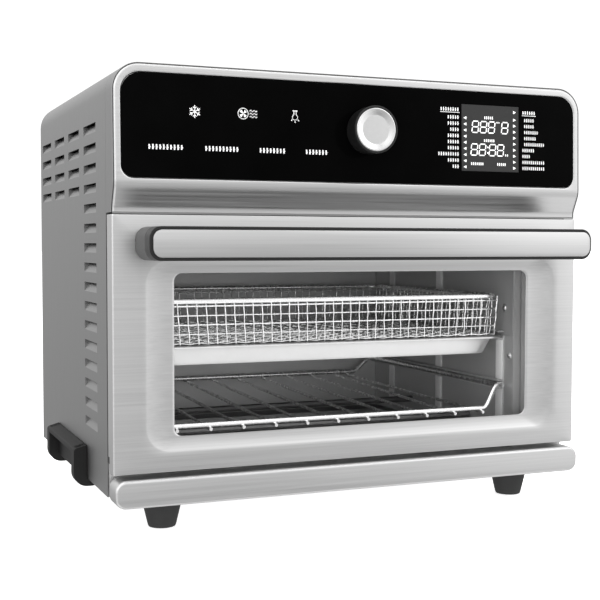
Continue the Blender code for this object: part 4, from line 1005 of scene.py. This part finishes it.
def woven_basket():
    """The basket: wires that weave over and under each other, under a thick rim wire."""
    low, high = node_box("airfry_basket")
    rim_low, rim_high = node_box("basket_rim")
    half, front, back = (high.x - low.x) / 2 - 0.0006, low.y + 0.0006, high.y - 0.0006
    top, floor, taper = rim_high.z - WIRE, low.z + MESH_WIRE * 2, 0.003
    rise = (top - 0.0042 - floor) / MESH_ROWS
    columns = round(2 * (half - taper) / MESH_PITCH)
    deep = round((back - front - taper) / MESH_PITCH)
    levels = [top] + [floor + rise * row for row in range(MESH_ROWS, 0, -1)]
    down, left, right, forward, backward = (0, 0, -1), (-1, 0, 0), (1, 0, 0), (0, -1, 0), (0, 1, 0)

    def at(across, along, z):
        """A place on the sheet: -1 to 1 across and 0 to 1 along. All its walls but the front lean in."""
        inset = taper * (top - z) / (top - floor)
        return (CAVITY_X + across * (half - inset), front + (back - inset - front) * along, z)

    acrosses = [column / columns * 2 - 1 for column in range(columns + 1)]
    alongs = [step / deep for step in range(deep + 1)]
    shape = Shape()
    for column, across in enumerate(acrosses):
        run = [(at(across, 0, z), forward) for z in levels]
        run += [(at(across, along, floor), down) for along in alongs]
        run += [(at(across, 1, z), backward) for z in reversed(levels)]
        shape.wire(crimped(run, column), MESH_WIRE, 6)
    for step, along in enumerate(alongs):
        run = [(at(-1, along, z), left) for z in levels]
        run += [(at(across, along, floor), down) for across in acrosses]
        run += [(at(1, along, z), right) for z in reversed(levels)]
        shape.wire(crimped(run, step + 1), MESH_WIRE, 6)
    for row, z in enumerate(levels[1:] + [top - 0.0040]):
        run = [(at(across, 0, z), forward) for across in acrosses[:-1]]
        run += [(at(1, along, z), right) for along in alongs[:-1]]
        run += [(at(-across, 1, z), backward) for across in acrosses[:-1]]
        run += [(at(-1, 1 - along, z), left) for along in alongs[:-1]]
        shape.wire(crimped(run, row), MESH_WIRE, 6, closed=True)
    mesh = smooth(shape.object("basket_weave"), 60)
    finished(mesh, CHROME, "pan_and_basket", ["airfry_basket"])

    loop = flat_ring((rim_high.x - rim_low.x) / 2 - WIRE, rim_low.y + WIRE, rim_high.y - WIRE, 0.012, top)
    rim = smooth(Shape().wire(loop, WIRE, 14, closed=True).object("basket_rim_wire"), 50)
    finished(rim, CHROME, "pan_and_basket", ["basket_rim"])


def wall_ribs():
    """Pressed ribs on both side walls: soft-edged strips just proud of the CAD walls' own, in a painted
    highlight.
    """
    ledge_width, rib_proud, width, proud, shoulder_width = 0.006, 0.0012, 0.012, 0.0004, 0.0010
    low_strip, middle_strip, high_strip = (0.0625, 0.1002), (0.1092, 0.1459), (0.1549, 0.2475)
    ribs = ((0.034, (low_strip, middle_strip)),)
    ribs += tuple((front, (low_strip, middle_strip, high_strip)) for front in (0.150, 0.256))
    for side, name in ((-1, "left"), (1, "right")):
        wall = node_box(f"cavity_{name}_wall")
        base = (wall[1].x - ledge_width if side < 0 else wall[0].x + ledge_width) - side * rib_proud
        crest = base - side * proud
        shape = Shape()
        for front, strips in ribs:
            back = front + width
            outline = [(base, front), (crest, front + shoulder_width)]
            outline += [(crest, back - shoulder_width), (base, back)]
            for low, high in strips:
                shape.prism(outline, low, high, upright=True)
        finished(smooth(shape.object(f"{name}_wall_ribs")), RIB_HIGHLIGHT, "oven_body")


EDGE_GAP = 0.0014


def seam_shade():
    """Painted shade: near-black strips in the seams round the door, above it and down both of its sides,
    where the seams lie in shade.
    """
    frame_back = node_box("front_frame")[1].y
    back, top = frame_back + 0.0002, FASCIA_LOW + 0.004
    shape = Shape().box((EDGE_GAP - HALF, back, 0.2545), (HALF - EDGE_GAP, back + 0.0008, top))
    for side in (-1, 1):
        inner, outer = side * (HALF - 0.0011), side * (HALF - 0.0007)
        shape.box((inner, DOOR_BACK + 0.0003, 0.0600), (outer, frame_back + 0.0016, top))
    return finished(shape.object("seam_shade"), SHADE_GAP, "oven_body")


def seam_lip():
    """The fascia's folded lower edge, which half fills the seam over the door."""
    gap, front, back = 0.0003, 0.0007, 0.0030
    low, top = node_box("door_skin")[1].z + gap, FASCIA_LOW + gap
    shape = Shape().box((EDGE_GAP - HALF, front, low), (HALF - EDGE_GAP, back, top))
    return finished(shape.object("seam_lip"), SIDE, "oven_body")


# ---------------------------------------------------------------- floor, lights and camera
def stage_plane(name, material, size):
    bpy.ops.mesh.primitive_plane_add(size=size, location=(0, 0, 0))
    plane = bpy.context.object
    plane.name = name
    plane.data.materials.append(material)
    return plane


def softbox(name, place, target, width, height, power):
    """A large soft light that lights the object without a hard mirror image of its own in the steel."""
    light = bpy.data.lights.new(name, "AREA")
    light.shape = "RECTANGLE"
    light.size = width
    light.size_y = height
    light.energy = power
    obj = bpy.data.objects.new(name, light)
    obj.location = place
    obj.rotation_euler = (Vector(target) - Vector(place)).to_track_quat("-Z", "Y").to_euler()
    obj.visible_glossy = False
    bpy.context.scene.collection.objects.link(obj)
    return obj


def maths(nodes, links, operation, *values):
    """A maths node on values that are plain numbers or the outputs of other nodes."""
    node = nodes.new("ShaderNodeMath")
    node.operation = operation
    for socket, value in zip(node.inputs, values):
        if isinstance(value, float):
            socket.default_value = value
        else:
            links.new(value, socket)
    return node.outputs[0]


# (degrees from straight ahead towards the right, brightness) and (degrees above the horizon, brightness)
AROUND = (
    (-180, 0.70), (-120, 0.72), (-80, 1.05), (-50, 1.55), (-22, 0.97), (8, 0.90), (16, 0.76),
    (22, 0.57), (27, 0.62), (31, 0.98), (38, 1.48), (50, 1.45), (75, 0.85), (180, 0.70),
)
OVER = (
    (-90, 1.00), (-45, 0.95), (-30, 0.70), (-20, 0.52), (-8, 0.76), (4, 1.00),
    (16, 1.35), (28, 1.60), (42, 1.05), (58, 1.60), (90, 1.80),
)


def studio_surroundings(nodes, links):
    """What the steel mirrors: brightness round the object times brightness over it, each along a ramp."""
    place = nodes.new("ShaderNodeTexCoord")
    split = nodes.new("ShaderNodeSeparateXYZ")
    links.new(place.outputs["Generated"], split.inputs["Vector"])
    back = maths(nodes, links, "MULTIPLY", split.outputs["Y"], -1.0)
    turn = maths(nodes, links, "ARCTAN2", split.outputs["X"], back)
    turn = maths(nodes, links, "MULTIPLY_ADD", turn, 1 / (2 * math.pi), 0.5)
    rise = maths(nodes, links, "ARCSINE", split.outputs["Z"])
    rise = maths(nodes, links, "MULTIPLY_ADD", rise, 1 / math.pi, 0.5)
    around = [(degrees / 360 + 0.5, even(brightness)) for degrees, brightness in AROUND]
    over = [(degrees / 180 + 0.5, even(brightness)) for degrees, brightness in OVER]
    mix = nodes.new("ShaderNodeMix")
    mix.data_type = "RGBA"
    mix.blend_type = "MULTIPLY"
    mix.inputs["Factor"].default_value = 1.0
    links.new(ramp(nodes, links, turn, around), mix.inputs["A"])
    links.new(ramp(nodes, links, rise, over), mix.inputs["B"])
    return mix.outputs["Result"]


def studio():
    """A pale floor, a world that only glossy rays see as the studio, and three soft lights."""
    floor = surface("pale_floor", 0.93, 0.005, 0.7, 0.05, even(3), relief=0.0, Emission_Strength=0.8)
    stage_plane("floor", floor, 60).visible_glossy = False
    world = bpy.data.worlds.new("studio")
    bpy.context.scene.world = world
    world.use_nodes = True
    nodes, links = world.node_tree.nodes, world.node_tree.links
    surroundings = nodes["Background"]
    links.new(studio_surroundings(nodes, links), surroundings.inputs["Color"])
    white = set_inputs(nodes.new("ShaderNodeBackground"), Color=(1, 1, 1, 1), Strength=1.12)
    path = nodes.new("ShaderNodeLightPath")
    mix = nodes.new("ShaderNodeMixShader")
    links.new(path.outputs["Is Glossy Ray"], mix.inputs["Fac"])
    links.new(white.outputs["Background"], mix.inputs[1])
    links.new(surroundings.outputs["Background"], mix.inputs[2])
    links.new(mix.outputs["Shader"], nodes["World Output"].inputs["Surface"])
    behind_glass, inside = (-0.01, FACE + 0.0205, 0.140), (-0.01, FACE + 0.3, 0.138)
    window = softbox("window_fill", behind_glass, inside, 0.31, 0.145, 0.105)
    window.visible_glossy = True
    window.visible_camera = False
    softbox("key", (1.6, -2.0, 1.6), (0, 0, 0.2), 2.0, 2.0, 30)
    softbox("front", (-0.6, -2.4, 0.5), (0, 0, 0.15), 1.6, 1.0, 16)


def photo_camera():
    """The camera that the photo was fitted with."""
    yaw, pitch, roll = math.radians(22.2288), math.radians(2.8632), math.radians(0.109)
    place = Vector((-0.41074, FACE - 0.86482, 0.23534))
    look = Vector((math.sin(yaw) * math.cos(pitch), math.cos(yaw) * math.cos(pitch), -math.sin(pitch)))
    level = Vector((math.cos(yaw), -math.sin(yaw), 0))
    upright = level.cross(look)
    right = level * math.cos(roll) + upright * math.sin(roll)
    up = upright * math.cos(roll) - level * math.sin(roll)
    data = bpy.data.cameras.new("camera")
    data.sensor_width = 36
    data.lens = 67.69
    data.clip_start = 0.01
    camera = bpy.data.objects.new("camera", data)
    camera.matrix_world = Matrix.Translation(place) @ Matrix((right, up, -look)).transposed().to_4x4()
    bpy.context.scene.collection.objects.link(camera)
    bpy.context.scene.camera = camera
    bpy.context.scene.view_settings.view_transform = "Standard"


# ---------------------------------------------------------------- build
photo_camera()
studio()
outer_shell()
rear_details()
for corner in ("front_left", "front_right", "rear_left", "rear_right"):
    foot(f"{corner}_foot", f"foot_{corner}")
side_handle("left_carry_handle", -1, "side_handle_left")
side_handle("right_carry_handle", 1, "side_handle_right")
fascia()
seam_shade()
seam_lip()
printed_marks()
display_marks()
dial_body()
dial_cap()
door_front()
pull_handle()
tray_front()
wire_rack()
pan()
woven_basket()
wall_ribs()

dress(SIDE, "rear_panel")
dress(ZINC, "base_plate", "dial_encoder", "encoder_shaft")
dress(ZINC, "fan_blade", "fan_housing", "fan_motor", "crumb_tray")
dress(CAVITY, "front_frame", "cavity_left_wall", "cavity_right_wall")
dress(CAVITY, "cavity_back", "cavity_ceiling", "cavity_floor", "fan_guard", "door_liner")
dress(BLACK_GLASS, "control_glass")
dress(DISPLAY, "display_module")
dress(BOARD, "control_board", "power_board")
dress(PLASTIC, "cord_inlet")
dress(DOOR_GLASS, "door_glass")
dress(CHROME, "temperature_probe", "guide_rivet_upper", "guide_rivet_lower", "fan_shaft")
dress(HEATER, "heater_upper_front", "heater_upper_rear", "heater_lower_front", "heater_lower_rear")
dress(CERAMIC, "lamp_holder")
dress(LAMP_GLASS, "lamp_lens", "lamp_bulb")
for side in ("left", "right"):
    hinge = [f"{piece}_{side}" for piece in ("hinge_bracket", "hinge_clevis", "hinge_pin", "door_spring")]
    dress(ZINC, *hinge, edge=0.0001)
